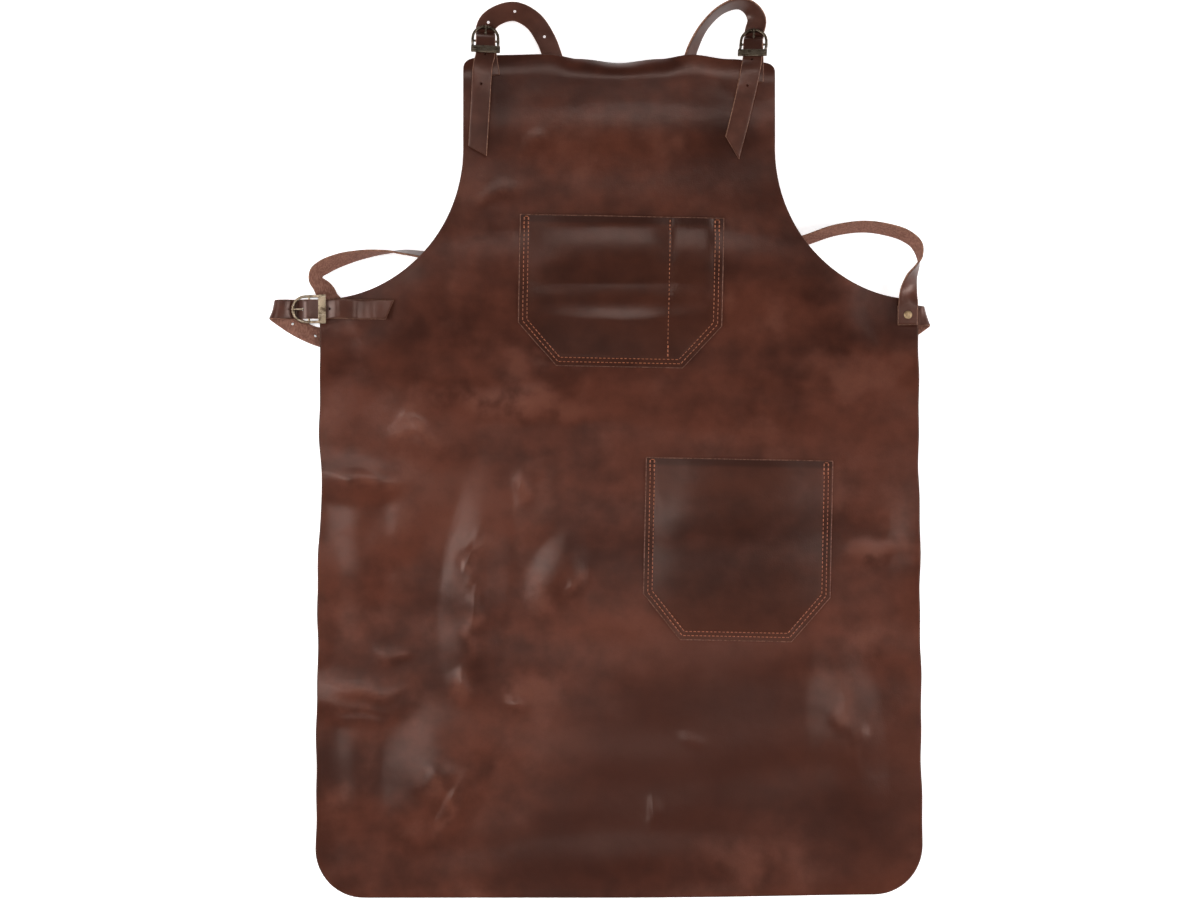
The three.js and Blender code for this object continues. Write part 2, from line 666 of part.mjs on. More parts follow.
for (const [name, spec] of Object.entries(BUCKLES)) {
  const group = groups[name];
  apron.add(group);
  addPiece(group, `buckle_frame_${name}`, frameGeometry(), MATERIALS.brass);
  addPiece(group, `buckle_prong_${name}`, prongGeometry(), MATERIALS.brass);
  const rivet = name === "waist" ? "waist_left" : name;
  const slot = new THREE.BoxGeometry(2 * TAB.slotReach, 2 * TAB.slotHalf, 12).applyMatrix4(group.matrixWorld);
  const tab = cut(tabStrip(spec, group).geometry(), slot, rivetHole(RIVETS[rivet]));
  addPiece(apron, `buckle_tab_${name}`, tab, MATERIALS.strap);
}

for (const [name, spec] of Object.entries(RIVETS)) {
  const { point, turn } = rivetPlace(spec);
  const grip = spec.below + spec.above + 2 * GAP;
  const rivet = addPiece(apron, `rivet_${name}`, rivetGeometry(grip), MATERIALS.brass);
  rivet.position.copy(point);
  rivet.quaternion.copy(turn);
}

export default apron;
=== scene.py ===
"""Leather work apron laid out flat on its back and seen from above: a waxed hide with its folds and creases,
two sewn patch pockets, straps with raw edges, aged brass buckles and rivets.

Sizes are in millimetres until a mesh is made. +X is to the right, +Y towards the bib, +Z up from the floor.
"""
from types import SimpleNamespace as Sizes

import bpy
import numpy as np
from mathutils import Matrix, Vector


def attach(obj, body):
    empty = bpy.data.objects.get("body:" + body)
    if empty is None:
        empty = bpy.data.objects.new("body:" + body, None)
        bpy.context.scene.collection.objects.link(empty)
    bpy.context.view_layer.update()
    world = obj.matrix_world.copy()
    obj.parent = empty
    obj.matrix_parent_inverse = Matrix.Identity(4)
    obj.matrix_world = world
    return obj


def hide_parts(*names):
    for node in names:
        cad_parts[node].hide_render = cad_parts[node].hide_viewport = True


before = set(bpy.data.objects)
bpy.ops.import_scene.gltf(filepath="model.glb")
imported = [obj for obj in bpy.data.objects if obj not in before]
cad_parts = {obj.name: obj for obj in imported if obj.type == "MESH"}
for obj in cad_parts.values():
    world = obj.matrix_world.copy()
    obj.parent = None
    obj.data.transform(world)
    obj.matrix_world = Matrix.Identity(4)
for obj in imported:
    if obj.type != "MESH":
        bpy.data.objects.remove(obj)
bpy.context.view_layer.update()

MM = 0.001
PANEL = Sizes(thickness=2.0, hem_half=303.0, waist_half=298.0, bib_half=154.5, hem=-297.0, waist=300.0,
              armhole=150.0, bib=520.0, roll=22.0, hem_radius=48.0, bib_radius=9.0, hem_skew=3.5)
DRAWN = Sizes(depth=3.2, at=115, reach=34)  # where the left side of the skirt is drawn in
GRID = Sizes(row=3.7, roll_row=1.6, columns=167, hem_rows=17, armhole_rows=48, inset=0.9)
LIFT = Sizes(height=27.0, foot=170.0, top=325.0, wing_from=190.0, wing_to=300.0, wing_share=0.24)
STRAP = Sizes(width=19.5, thickness=2.2, spacing=1.7, hole=1.4, prong_hole=(3.4, 1.5), rivet_hole=1.95)
TAB = Sizes(width=19.0, thickness=1.8, spacing=0.8, gap=0.9, prong_slot=(7.2, 1.5), rivet_hole=3.0)
RAW_CUT = Sizes(reach=0.3, shrink=0.8)  # how far a strip's raw end bulges out, and how thin it gets
BUCKLE = Sizes(wire=1.4, bar=1.2, rail=12.8, nose=-16.1, plate_at=13.75, plate_length=29.0, plate_width=7.5,
               plate_thickness=1.6, plate_height=9.0, knob=0.55, knob_at=2.6, knob_width=0.8)
PRONG = Sizes(width=2.0, ring=2.9, slack=0.25, tip=-17.6, tip_height=2.5)
RIVET = Sizes(dome=4.2, rise=1.9, cap=3.6, cap_thickness=0.9, shank=1.6, gap=0.3)
POCKET = Sizes(thickness=2.0, gap=0.15, seam=9.0, grid=1.5, inset=0.7, burnish_from=5, burnish_to=9)
STITCH = Sizes(rows=(4.0, 8.2), pitch=4.2, length=3.3, radius=0.42, rings=7, sides=6, dip=-0.42, rise=0.26,
               groove=0.35, groove_width=0.9, from_mouth=1.6)


def table(columns, *rows):
    """The rows of a short table as one array for each named column."""
    return Sizes(**dict(zip(columns.split(), np.array(rows, float).T)))


def ridge_table(*rows):
    """Ridges: the middle of each, its direction in degrees, its foot's length and width, and its height."""
    return table("x y turn length width height", *rows)


# Soft folds and swells of the hide
FOLDS = ridge_table(
    (-268, 122, -4, 150, 62, 4.0),
    (-268, -98, -5, 150, 64, 4.5),
    (-143, 18, 84, 260, 74, 5.0),
    (-188, -178, 66, 170, 120, 5.5),
    (228, -138, 98, 240, 84, 5.0),
    (302, 52, 90, 170, 76, 4.5),
    (304, 258, 90, 104, 100, 5.5),
    (-304, 256, 90, 92, 100, 4.0),
    (-303, 20, 90, 190, 60, 3.0),
    (-303, -190, 90, 170, 60, 3.5),
    (-60, 30, 60, 110, 60, 3.0),
    (-196, 172, -30, 130, 90, 3.5),
    (72, 198, -4, 330, 66, 3.0),
    (20, 470, 0, 330, 56, 2.0),
    (0, -262, 2, 420, 66, 2.5),
)
# Sharper creases where the waxed hide was bent
CREASES = ridge_table(
    (-205, 168, -30, 60, 40, 3.0),
    (-96, 114, 90, 50, 26, 1.7),
    (-147, 41, 66, 80, 18, 1.5),
    (-147, -25, 85, 90, 20, 1.6),
    (-45, 12, 90, 50, 28, 1.2),
    (-226, -54, 3, 50, 20, 1.4),
    (-156, -85, 90, 44, 24, 1.7),
    (-105, -103, 0, 36, 18, 1.3),
    (-254, 121, -9, 95, 19, 1.8),
    (-254, -90, -4, 100, 17, 1.5),
    (-254, -110, -2, 100, 17, 1.5),
    (-184, -175, 60, 60, 46, 2.4),
    (-170, -204, 68, 78, 22, 1.9),
    (230, -127, 102, 125, 30, 2.4),
    (255, 50, 4, 90, 28, 1.7),
    (34, -212, 95, 50, 18, 1.3),
    (71, -142, 160, 44, 20, 1.2),
    (-84, 455, 0, 44, 30, 1.4),
    (-119, 405, 20, 60, 26, 1.4),
    (-104, 198, -4, 210, 46, 2.4),
    (-76, 243, -40, 40, 18, 1.3),
)
PALEST_CREASE_AND_HIGHLIGHT = 2.4  # a crease as high as this is as pale as it gets; the paling is partly a painted highlight
# Smooth bands across the bib and along the left edge
BANDS = ridge_table(
    (0, 344, 0, 400, 62, 4.5),
    (3, 300, 0, 230, 40, 3.0),
    (-262, 60, 92, 190, 70, 3.4),
    (-264, -180, 90, 150, 66, 3.4),
    (-222, 66, 60, 90, 64, 2.6),
)
# Thin lines where the hide was pinched
PINCHES = ridge_table(
    (-149, 45, 70, 92, 13, 0.95),
    (-145, -9, 83, 78, 12, 0.9),
    (-167, -196, 60, 66, 15, 0.8),
    (-99, 113, 88, 40, 16, 0.9),
    (-49, 14, 62, 36, 22, 0.9),
    (-204, 170, -48, 62, 34, 2.2),
    (-158, -83, 88, 32, 15, 0.9),
    (-102, -104, 8, 24, 11, 0.6),
    (-216, -55, 6, 30, 12, 0.6),
    (231, -128, 100, 110, 16, 0.9),
    (34, -212, 95, 44, 12, 0.5),
)
# Low waves that the hide keeps from lying in a roll: direction, length, phase and height
WAVES = table(
    "turn length phase height",
    (90, 78, 0.4, 0.30),
    (86, 47, 2.1, 0.14),
    (24, 170, 1.1, 0.30),
    (148, 112, 3.0, 0.22),
)
# Darker places on the hide, and painted shadows beside the two bib strap tails (the last two rows)
DARKER_AND_TAIL_SHADOWS = ridge_table(
    (70, -150, 20, 440, 320, 1.3),
    (250, -200, 70, 320, 200, 0.8),
    (-60, -250, 0, 300, 130, 0.8),
    (120, 420, 0, 180, 120, 0.4),
    # painted shadows beside the left and right bib strap tails
    (-117, 496, 92, 110, 26, 1.2),
    (96, 492, 76, 110, 40, 1.1),
)
# Round places where the hide is held flat by its fittings
CALM = ridge_table(
    (-285, 295, 0, 150, 130, 2.5),
    (285, 290, 0, 130, 120, 2.5),
    (-130, 535, 0, 130, 130, 2.5),
    (134, 535, 0, 130, 130, 2.5),
)
# How far the bib's top edge rolls back, and how high up it ends
ROLL = table(
    "x angle top",
    (-155, 34, 538), (-123, 30, 542), (-70, 26, 543), (-40, 48, 538), (0, 78, 534),
    (40, 50, 538), (72, 24, 542.5), (110, 28, 538), (155, 34, 534),
)


def smooth(start, end, value):
    """0 before start, 1 after end, and 3t² - 2t³ between them."""
    t = np.clip((value - start) / (end - start), 0, 1)
    return t * t * (3 - 2 * t)


def mix(start, end, share):
    """The value that lies a share of the way from start to end."""
    return start + (end - start) * share


def unit(vectors):
    """Each vector divided by its length."""
    return vectors / np.linalg.norm(vectors, axis=-1, keepdims=True)


def rows_of(start, end, step):
    """Evenly spaced values from start to end, about a step apart."""
    return np.linspace(start, end, int(round(abs(end - start) / step)) + 1)


def crumpled(x, y):
    """A point moved by up to 8 mm each way, so that creases run unevenly: a product of two long sine waves,
    and a short sine wave."""
    long_wave, short_wave = 5, 3
    return (
        x + long_wave * np.sin(y / 11 + 0.4) * np.sin(x / 17 + 2.2) + short_wave * np.sin(y / 6.3 + 1.1),
        y + long_wave * np.sin(x / 13 + 1.6) * np.sin(y / 19 + 0.3) + short_wave * np.sin(x / 7.1 + 2.7),
    )


def ridges(rows, x, y):
    """Sum of height · (1 - along² - across²)², where along and across are 1 at the foot of each ridge."""
    cos, sin = np.cos(np.radians(rows.turn)), np.sin(np.radians(rows.turn))
    dx, dy = x[..., None] - rows.x, y[..., None] - rows.y
    along = (dx * cos + dy * sin) / (rows.length / 2)
    across = (dy * cos - dx * sin) / (rows.width / 2)
    return (rows.height * np.maximum(0, 1 - along**2 - across**2) ** 2).sum(-1)


def ripples(x, y):
    """Sum of height · (1 + sin(2π · distance / length + phase)) for each wave, along lines that wander."""
    wandered_x, wandered_y = x + 22 * np.sin(y / 71 + 0.7), y + 16 * np.sin(x / 93 + 1.9)
    turn = np.radians(WAVES.turn)
    distance = wandered_x[..., None] * np.cos(turn) + wandered_y[..., None] * np.sin(turn)
    waves = WAVES.height * (1 + np.sin(2 * np.pi * distance / WAVES.length + WAVES.phase))
    return waves.sum(-1)


def underside(x, y):
    """Height of the hide's underside: the lift over the crossed straps, its folds, creases and ripples."""
    wings = 1 - (1 - LIFT.wing_share) * smooth(LIFT.wing_from, LIFT.wing_to, np.abs(x))
    lift = LIFT.height * wings * smooth(LIFT.foot, LIFT.top, y)
    loose = 1 - np.clip(ridges(CALM, x, y), 0, 1)
    creased = ridges(BANDS, x, y) + ridges(CREASES, *crumpled(x, y)) + ripples(x, y)
    return lift + ridges(FOLDS, x, y) + loose * creased


def roll(x):
    """Angle of the rolled top edge and where it starts, smoothly between the rows of ROLL."""
    index = np.clip(np.searchsorted(ROLL.x, x), 1, len(ROLL.x) - 1)
    share = smooth(ROLL.x[index - 1], ROLL.x[index], x)
    angle = np.radians(mix(ROLL.angle[index - 1], ROLL.angle[index], share))
    top = mix(ROLL.top[index - 1], ROLL.top[index], share)
    return angle, top - PANEL.roll * np.sin(angle) / angle


def laid(x, s):
    """Where the flat hide's point (x, s) lies: on the underside, and round an arc in the rolled top edge."""
    x, s = np.broadcast_arrays(np.asarray(x, float), np.asarray(s, float))
    armhole_top = PANEL.waist + PANEL.armhole
    angle, start = roll(x)
    skew = PANEL.hem_skew * smooth(0, PANEL.hem_half, x) * (1 - smooth(PANEL.hem, 0, s))
    share = np.clip((s - armhole_top) / (PANEL.bib - armhole_top), 0, 1)
    y = np.where(s <= armhole_top, s, mix(armhole_top, start, share))
    turned = np.maximum(0, s - PANEL.bib) / PANEL.roll * angle
    radius = PANEL.roll / angle
    z = underside(x, y) - radius * (1 - np.cos(turned))
    return np.stack([x, y + skew + radius * np.sin(turned), z], -1)


def on_panel(x, s, height):
    """The laid point moved by a height along its normal, which is the cross product of its two slopes."""
    step = 1.5
    normal = unit(np.cross(laid(x + step, s) - laid(x - step, s), laid(x, s + step) - laid(x, s - step)))
    return laid(x, s) + np.asarray(height, float)[..., None] * normal, normal


def rounding(radius, depth):
    """How far a round corner cuts in at a depth past its start: r - sqrt(r² - depth²)."""
    return radius - np.sqrt(np.maximum(0, radius**2 - np.maximum(0, depth) ** 2))


def half_width(s):
    """Half the cut width at s: a tapered skirt with round hem corners, quarter ellipse armholes, a bib."""
    skirt = mix(PANEL.hem_half, PANEL.waist_half, (s - PANEL.hem) / (PANEL.waist - PANEL.hem))
    skirt = skirt - rounding(PANEL.hem_radius, PANEL.hem + PANEL.hem_radius - s)
    left = np.clip(1 - (s - PANEL.waist) / PANEL.armhole, 0, 1)
    bib = PANEL.waist_half - (PANEL.waist_half - PANEL.bib_half) * np.sqrt(1 - left**2)
    bib = bib - rounding(PANEL.bib_radius, s - (PANEL.bib + PANEL.roll - PANEL.bib_radius))
    return np.where(s <= PANEL.waist, skirt, bib)


def cut_edge(u, s):
    """x of the hide at a share u of its half width. Between hem and waist the knife wandered in two sines,
    and a bell draws the left side in once."""
    drawn = DRAWN.depth * np.exp(-(((s - DRAWN.at) / DRAWN.reach) ** 2)) * (u < 0)
    wander = 0.5 * np.sin(s / 23 + 2 * np.sign(u)) + 0.35 * np.sin(s / 9.5)
    inner = smooth(PANEL.hem, PANEL.hem + 90, s) * (1 - smooth(PANEL.waist - 60, PANEL.waist - 20, s))
    return u * (half_width(s) - inner * (drawn + wander))


def leather_sheet(grain, flesh, rim=((0.14, 0.2), (0.5, 0.3), (0.86, 0.2))):
    """Closed sheet between two grids of points, with a raw edge that bulges out: each rim loop lies a share
    of the way up, moved out by a reach times the thickness along (edge × up)."""
    rows, columns = grain.shape[:2]
    ids = np.arange(rows * columns).reshape(rows, columns)
    loop = np.concatenate([ids[0, :-1], ids[:-1, -1], ids[-1, :0:-1], ids[:0:-1, 0]])
    top, low = grain.reshape(-1, 3)[loop], flesh.reshape(-1, 3)[loop]
    out = unit(np.cross(np.roll(top, -1, 0) - np.roll(top, 1, 0), top - low))
    thick = np.linalg.norm(top - low, axis=1, keepdims=True)
    loops = [low + share * (top - low) + reach * thick * out for share, reach in rim]
    count = rows * columns
    quads = np.stack([ids[:-1, :-1], ids[:-1, 1:], ids[1:, 1:], ids[1:, :-1]], -1).reshape(-1, 4)
    rims = [2 * count + k * len(loop) + np.arange(len(loop)) for k in range(len(rim))]
    levels = [loop + count, *rims, loop]
    walls = [np.stack([a, np.roll(a, -1), np.roll(b, -1), b], -1) for a, b in zip(levels, levels[1:])]
    points = np.concatenate([grain.reshape(-1, 3), flesh.reshape(-1, 3), *loops])
    edge = np.zeros(len(points))
    edge[2 * count:] = 1
    edge[loop] = edge[loop + count] = 0.8
    under = np.zeros(len(points))
    under[count:2 * count] = 1
    faces = np.concatenate([quads, quads[:, ::-1] + count, *walls])
    return points, faces.tolist(), {"edge": edge, "flesh": under}


def on_grain(values, count):
    """Values held within 0 and 1 for the grain side's points, the first of a count, and 0 for the others."""
    return np.pad(np.clip(values, 0, 1).ravel(), (0, count - values.size))


def skin(rings):
    """Quads from each ring of points to the next, and a flat face on each end. The rings run clockwise as
    seen from the far end."""
    count, sides = rings.shape[:2]
    ids = np.arange(count * sides).reshape(count, sides)
    turned = np.roll(ids, -1, axis=1)
    quads = np.stack([ids[:-1], ids[1:], turned[1:], turned[:-1]], -1).reshape(-1, 4)
    return rings.reshape(-1, 3), quads.tolist() + [ids[0].tolist(), ids[-1, ::-1].tolist()]


def joined(*parts):
    """Several meshes as one: their points in a row, and their faces counted on."""
    points, faces, count = [], [], 0
    for some_points, some_faces in parts:
        points.append(some_points)
        faces += [[count + k for k in face] for face in some_faces]
        count += len(some_points)
    return np.concatenate(points), faces


def tube(path, along, radius, sides=14, up=(0, 0, 1)):
    """Round bar along a path: rings of radius · (normal cos + left sin), left being up made square to it."""
    along = unit(along)
    left = unit(up - along * (along @ up)[:, None])
    normal = np.cross(along, left)
    angle = np.linspace(0, 2 * np.pi, sides, endpoint=False)[None, :, None]
    ring = normal[:, None] * np.cos(angle) + left[:, None] * np.sin(angle)
    return skin(path[:, None] + np.asarray(radius, float).reshape(-1, 1, 1) * ring)


def through(points, t, tension=None):
    """Catmull-Rom curve through points, whole numbers of t being the points, and its slope. Each span is the
    cubic with the slopes of its ends: tension · (next - last), or centripetal ones without a tension."""
    line = np.vstack([2 * points[:1] - points[1:2], points, 2 * points[-1:] - points[-2:-1]])
    index = np.clip(t.astype(int), 0, len(points) - 2)
    share = (t - index)[:, None]
    a, b, c, d = (line[index + k] for k in range(4))
    if tension is None:
        spans = (b - a, c - b, d - c)
        first, here, last = (np.sqrt(np.linalg.norm(span, axis=1, keepdims=True)) for span in spans)
        out = ((b - a) / first - (c - a) / (first + here) + (c - b) / here) * here
        back = ((c - b) / here - (d - b) / (here + last) + (d - c) / last) * here
    else:
        out, back = tension * (c - a), tension * (d - b)
    square, cube = 3 * (c - b) - 2 * out - back, 2 * (b - c) + out + back
    return b + share * (out + share * (square + share * cube)), out + share * (2 * square + 3 * share * cube)


class Route:
    """The way of a strip of leather through stations, each a place and the direction of its left edge."""

    def __init__(self, *stations):
        self.places = np.concatenate([places for places, edges in stations])
        self.edges = np.concatenate([edges for places, edges in stations])
        self.t = np.linspace(0, len(self.places) - 1, 60 * (len(self.places) - 1) + 1)
        line = through(self.places, self.t)[0]
        self.arc = np.concatenate([[0], np.cumsum(np.linalg.norm(np.diff(line, axis=0), axis=1))])

    def arc_at(self, t):
        """How far along the way the station t lies."""
        return float(np.interp(t, self.t, self.arc))

    def nearest(self, place):
        """How far along the way it comes nearest to a place."""
        line = through(self.places, self.t)[0]
        return float(self.arc[np.argmin(np.linalg.norm(line - place, axis=1))])

    def frames(self, arcs):
        """Middle, travel, left edge and grain side at arcs: the left edge is made square to the travel."""
        t = np.interp(arcs, self.arc, self.t)
        middle, along = through(self.places, t)
        along = unit(along)
        left = through(self.edges, t, 0.4)[0]
        left = unit(left - along * (left * along).sum(1, keepdims=True))
        return middle, along, left, np.cross(along, left)


# Half of a strip's cross section, from the middle of its grain side round its edge to the middle of its flesh
# side: share of the half width, share of the thickness, raw edge, flesh side
HALF_SECTION = table(
    "across up edge flesh",
    (0.0, 0.5, 0, 0), (0.35, 0.5, 0, 0), (0.7, 0.49, 0, 0), (0.88, 0.46, 0, 0), (0.95, 0.40, 0.5, 0),
    (0.988, 0.24, 1, 0), (1.0, 0.0, 1, 0), (0.988, -0.28, 1, 0.5), (0.96, -0.43, 0.4, 1), (0.9, -0.5, 0, 1),
    (0.5, -0.5, 0, 1), (0.0, -0.5, 0, 1),
)
HOLE_ROWS = np.array([-1, -0.97, -0.88, -0.7, -0.38, 0, 0.38, 0.7, 0.88, 0.97, 1])
HOLE_MARGIN = 0.4  # no other row of points lies nearer than this to a hole
ROUND, SLOT = 2, 6  # powers of a hole's outline


def strip_of_leather(route, size, holes=(), end_slant=0.0):
    """The half section carried along a route on both sides, with rows opened at the middle for each hole
    (arc, half length, half width, power): the slit is half width · sqrt(1 - |distance / half length|^power).
    The tail's end is sheared over its last stretch to its slant."""
    length = route.arc[-1]
    arcs = rows_of(0, length, size.spacing)
    for arc, half, _, _ in holes:
        arcs = np.concatenate([arcs[np.abs(arcs - arc) > half + HOLE_MARGIN], arc + half * HOLE_ROWS])
    arcs = np.sort(arcs)
    slit = np.zeros(len(arcs))
    for arc, half, wide, power in holes:
        slit += wide * np.sqrt(np.clip(1 - np.abs((arcs - arc) / half) ** power, 0, None))
    slit[slit < 0.02] = 0
    # a last ring at each end, a little further and smaller, is the raw cut
    arcs, slit = arcs[[0, *range(len(arcs)), -1]], np.pad(slit, 1)
    beyond, shrink = np.zeros(len(arcs)), np.ones(len(arcs))
    beyond[[0, -1]] = -RAW_CUT.reach, RAW_CUT.reach
    shrink[[0, -1]] = RAW_CUT.shrink
    middle, along, left, grain = route.frames(arcs)
    zone = 1.6 * abs(end_slant) + 1
    shear = np.clip((arcs - (length - zone)) / zone, 0, 1) * end_slant / 2
    sections = []
    for side in (1, -1):
        across = side * (slit[:, None] + HALF_SECTION.across * (size.width / 2 - slit[:, None]))
        up = HALF_SECTION.up * size.thickness * shrink[:, None]
        ahead = beyond[:, None] + shear[:, None] * across / (size.width / 2)
        sections.append(middle[:, None] + across[..., None] * left[:, None] + up[..., None] * grain[:, None]
                        + ahead[..., None] * along[:, None])
    count, sides = sections[0].shape[:2]
    ids = np.arange(count * sides).reshape(count, sides)
    quads = np.stack([ids[:-1, :-1], ids[1:, :-1], ids[1:, 1:], ids[:-1, 1:]], -1).reshape(-1, 4)
    other = ids + count * sides
    open_rows = np.flatnonzero(slit[:-1] + slit[1:] > 0)
    here, after = ids[open_rows], ids[open_rows + 1]
    wall = np.stack([here[:, -1], after[:, -1], after[:, 0], here[:, 0]], -1)
    faces = np.concatenate([quads, quads[:, ::-1] + count * sides, wall, wall[:, ::-1] + count * sides])
    ends = [np.concatenate([ids[j], other[j, -2:0:-1]]) for j in (0, -1)]
    points = np.concatenate([section.reshape(-1, 3) for section in sections])
    raw = np.zeros((count, sides))
    raw[[0, -1]] = 1
    edge = np.tile(np.maximum(raw, HALF_SECTION.edge).ravel(), 2)
    flesh = np.tile(np.broadcast_to(HALF_SECTION.flesh, (count, sides)).ravel(), 2)
    # the two halves share their middle points wherever no hole parts them
    cells = np.round(points * 500).astype(int)
    _, kept, merged = np.unique(cells, axis=0, return_index=True, return_inverse=True)
    merged = merged.ravel()
    faces = merged[faces].tolist() + [merged[ends[0]].tolist(), merged[ends[1]][::-1].tolist()]
    return points[kept], faces, {"edge": edge[kept], "flesh": flesh[kept]}


def compass(direction, raised):
    """Unit vectors from their compass direction and how far they are raised, in degrees."""
    direction, raised = np.radians(direction), np.radians(raised)
    level = np.cos(raised)
    return np.stack([level * np.cos(direction), level * np.sin(direction), np.sin(raised)], -1)


def stations(*rows):
    """Places, and left edges from their compass direction and how far they are raised."""
    x, y, z, edge, tilt = np.array(rows, float).T
    return np.stack([x, y, z], 1), compass(edge, tilt)


def panel_stations(x, s, height, edges):
    """Stations on the hide at a height above its underside, with their left edges laid into its surface."""
    places, normal = on_panel(x, s, np.broadcast_to(height, x.shape))
    edges = np.broadcast_to(edges, places.shape)
    return places, unit(edges - normal * (edges * normal).sum(1, keepdims=True))


def stacked(height, *rows):
    """Stations on the hide from rows of x, s and the left edge's compass direction."""
    x, s, edge = np.array(rows, float).T
    return panel_stations(x, s, height, compass(edge, 0 * edge))


def turned(heading, pitch, roll):
    """Axes rolled about x, then pitched up about y, then headed about z: the product of the three turns."""
    angles = np.radians((heading, pitch, roll))
    (cos, level, upright), (sin, rise, lean) = np.cos(angles), np.sin(angles)
    headed = np.array([[cos, -sin, 0], [sin, cos, 0], [0, 0, 1]])
    pitched = np.array([[level, 0, -rise], [0, 1, 0], [rise, 0, level]])
    rolled = np.array([[1, 0, 0], [0, upright, -lean], [0, lean, upright]])
    return headed @ pitched @ rolled


def upright_circle(angle):
    """Points cos · x + sin · z of a unit circle that stands along a buckle."""
    return np.stack([np.cos(angle), 0 * angle, np.sin(angle)], 1)


class Fitting:
    """A buckle's own axes: x from its round end to its plate, y to the strap's left edge, z up, from its bar.
    Its tab folds over the hide's edge at (x, s), in a compass direction of its own."""

    def __init__(self, x, s, tab, leg, reach, heading, pitch, roll):
        self.x, self.s, self.leg = x, s, leg
        self.tab = compass(tab, 0)
        self.turn = turned(heading, pitch, roll)
        edge = on_panel(x, s, PANEL.thickness / 2)[0]
        self.bar = edge - reach * turned(tab, pitch, 0)[:, 0]

    def world(self, points):
        """Points in the buckle's axes, turned and moved to where it lies."""
        return np.asarray(points, float) @ self.turn.T + self.bar

    def placed(self, shape):
        """A mesh in the buckle's axes, turned and moved to where it lies."""
        points, faces = shape
        return self.world(points), faces

    def through_buckle(self):
        """The strap's way: under the round end, over the bar and under the plate."""
        along, above = THREADING.along, THREADING.above
        places = self.world(np.stack([along, 0 * along, above], 1))
        return places, np.broadcast_to(self.turn[:, 1], places.shape)

    def tab_route(self):
        """From under the hide round the bar to the front of the hide."""
        depth = self.leg * np.array([1, 0.66, 0.38, 0.12])
        x, s = self.x + self.tab[0] * depth, self.s + self.tab[1] * depth
        middle = TAB.gap + TAB.thickness / 2
        wrap = BUCKLE.bar + PRONG.slack + TAB.thickness / 2
        bend = self.world(wrap * upright_circle(np.radians([-90, -135, 180, 135, 90])))
        side = np.array([-self.tab[1], self.tab[0], 0])
        return Route(
            panel_stations(x, s, -middle, side),
            (bend, np.broadcast_to(self.turn[:, 1], bend.shape)),
            panel_stations(x[::-1], s[::-1], PANEL.thickness + middle, side),
        )


# A strap's way past the bar, in its buckle's axes
THREADING = table(
    "along above",
    (-16.1, -3.6), (-11.2, -3.7), (-7.4, 0.2), (-4.7, 2.9), (-2.2, 4.6), (2.0, 5.3), (7.5, 5.6), (13.75, 6.0),
    (19.5, 6.8),
)
# Where each tab folds over the hide's edge, its compass direction and length on the hide, the bar's distance
# from the edge, and the buckle's compass heading, pitch and roll
FITTINGS = {
    "bib_left": Fitting(-131, 542, tab=-82, leg=21, reach=17.4, heading=-91, pitch=24, roll=-4),
    "bib_right": Fitting(134, 542, tab=-90, leg=21, reach=19.5, heading=-93, pitch=23, roll=7),
    "waist": Fitting(-298.1, 290.5, tab=0, leg=24, reach=11.4, heading=0, pitch=2, roll=0),
}
FIRST_LAYER = PANEL.thickness + TAB.gap + STRAP.thickness / 2
SECOND_LAYER = FIRST_LAYER + TAB.gap + STRAP.thickness
BEHIND_TAB = -TAB.gap - TAB.thickness - RIVET.gap - STRAP.thickness / 2

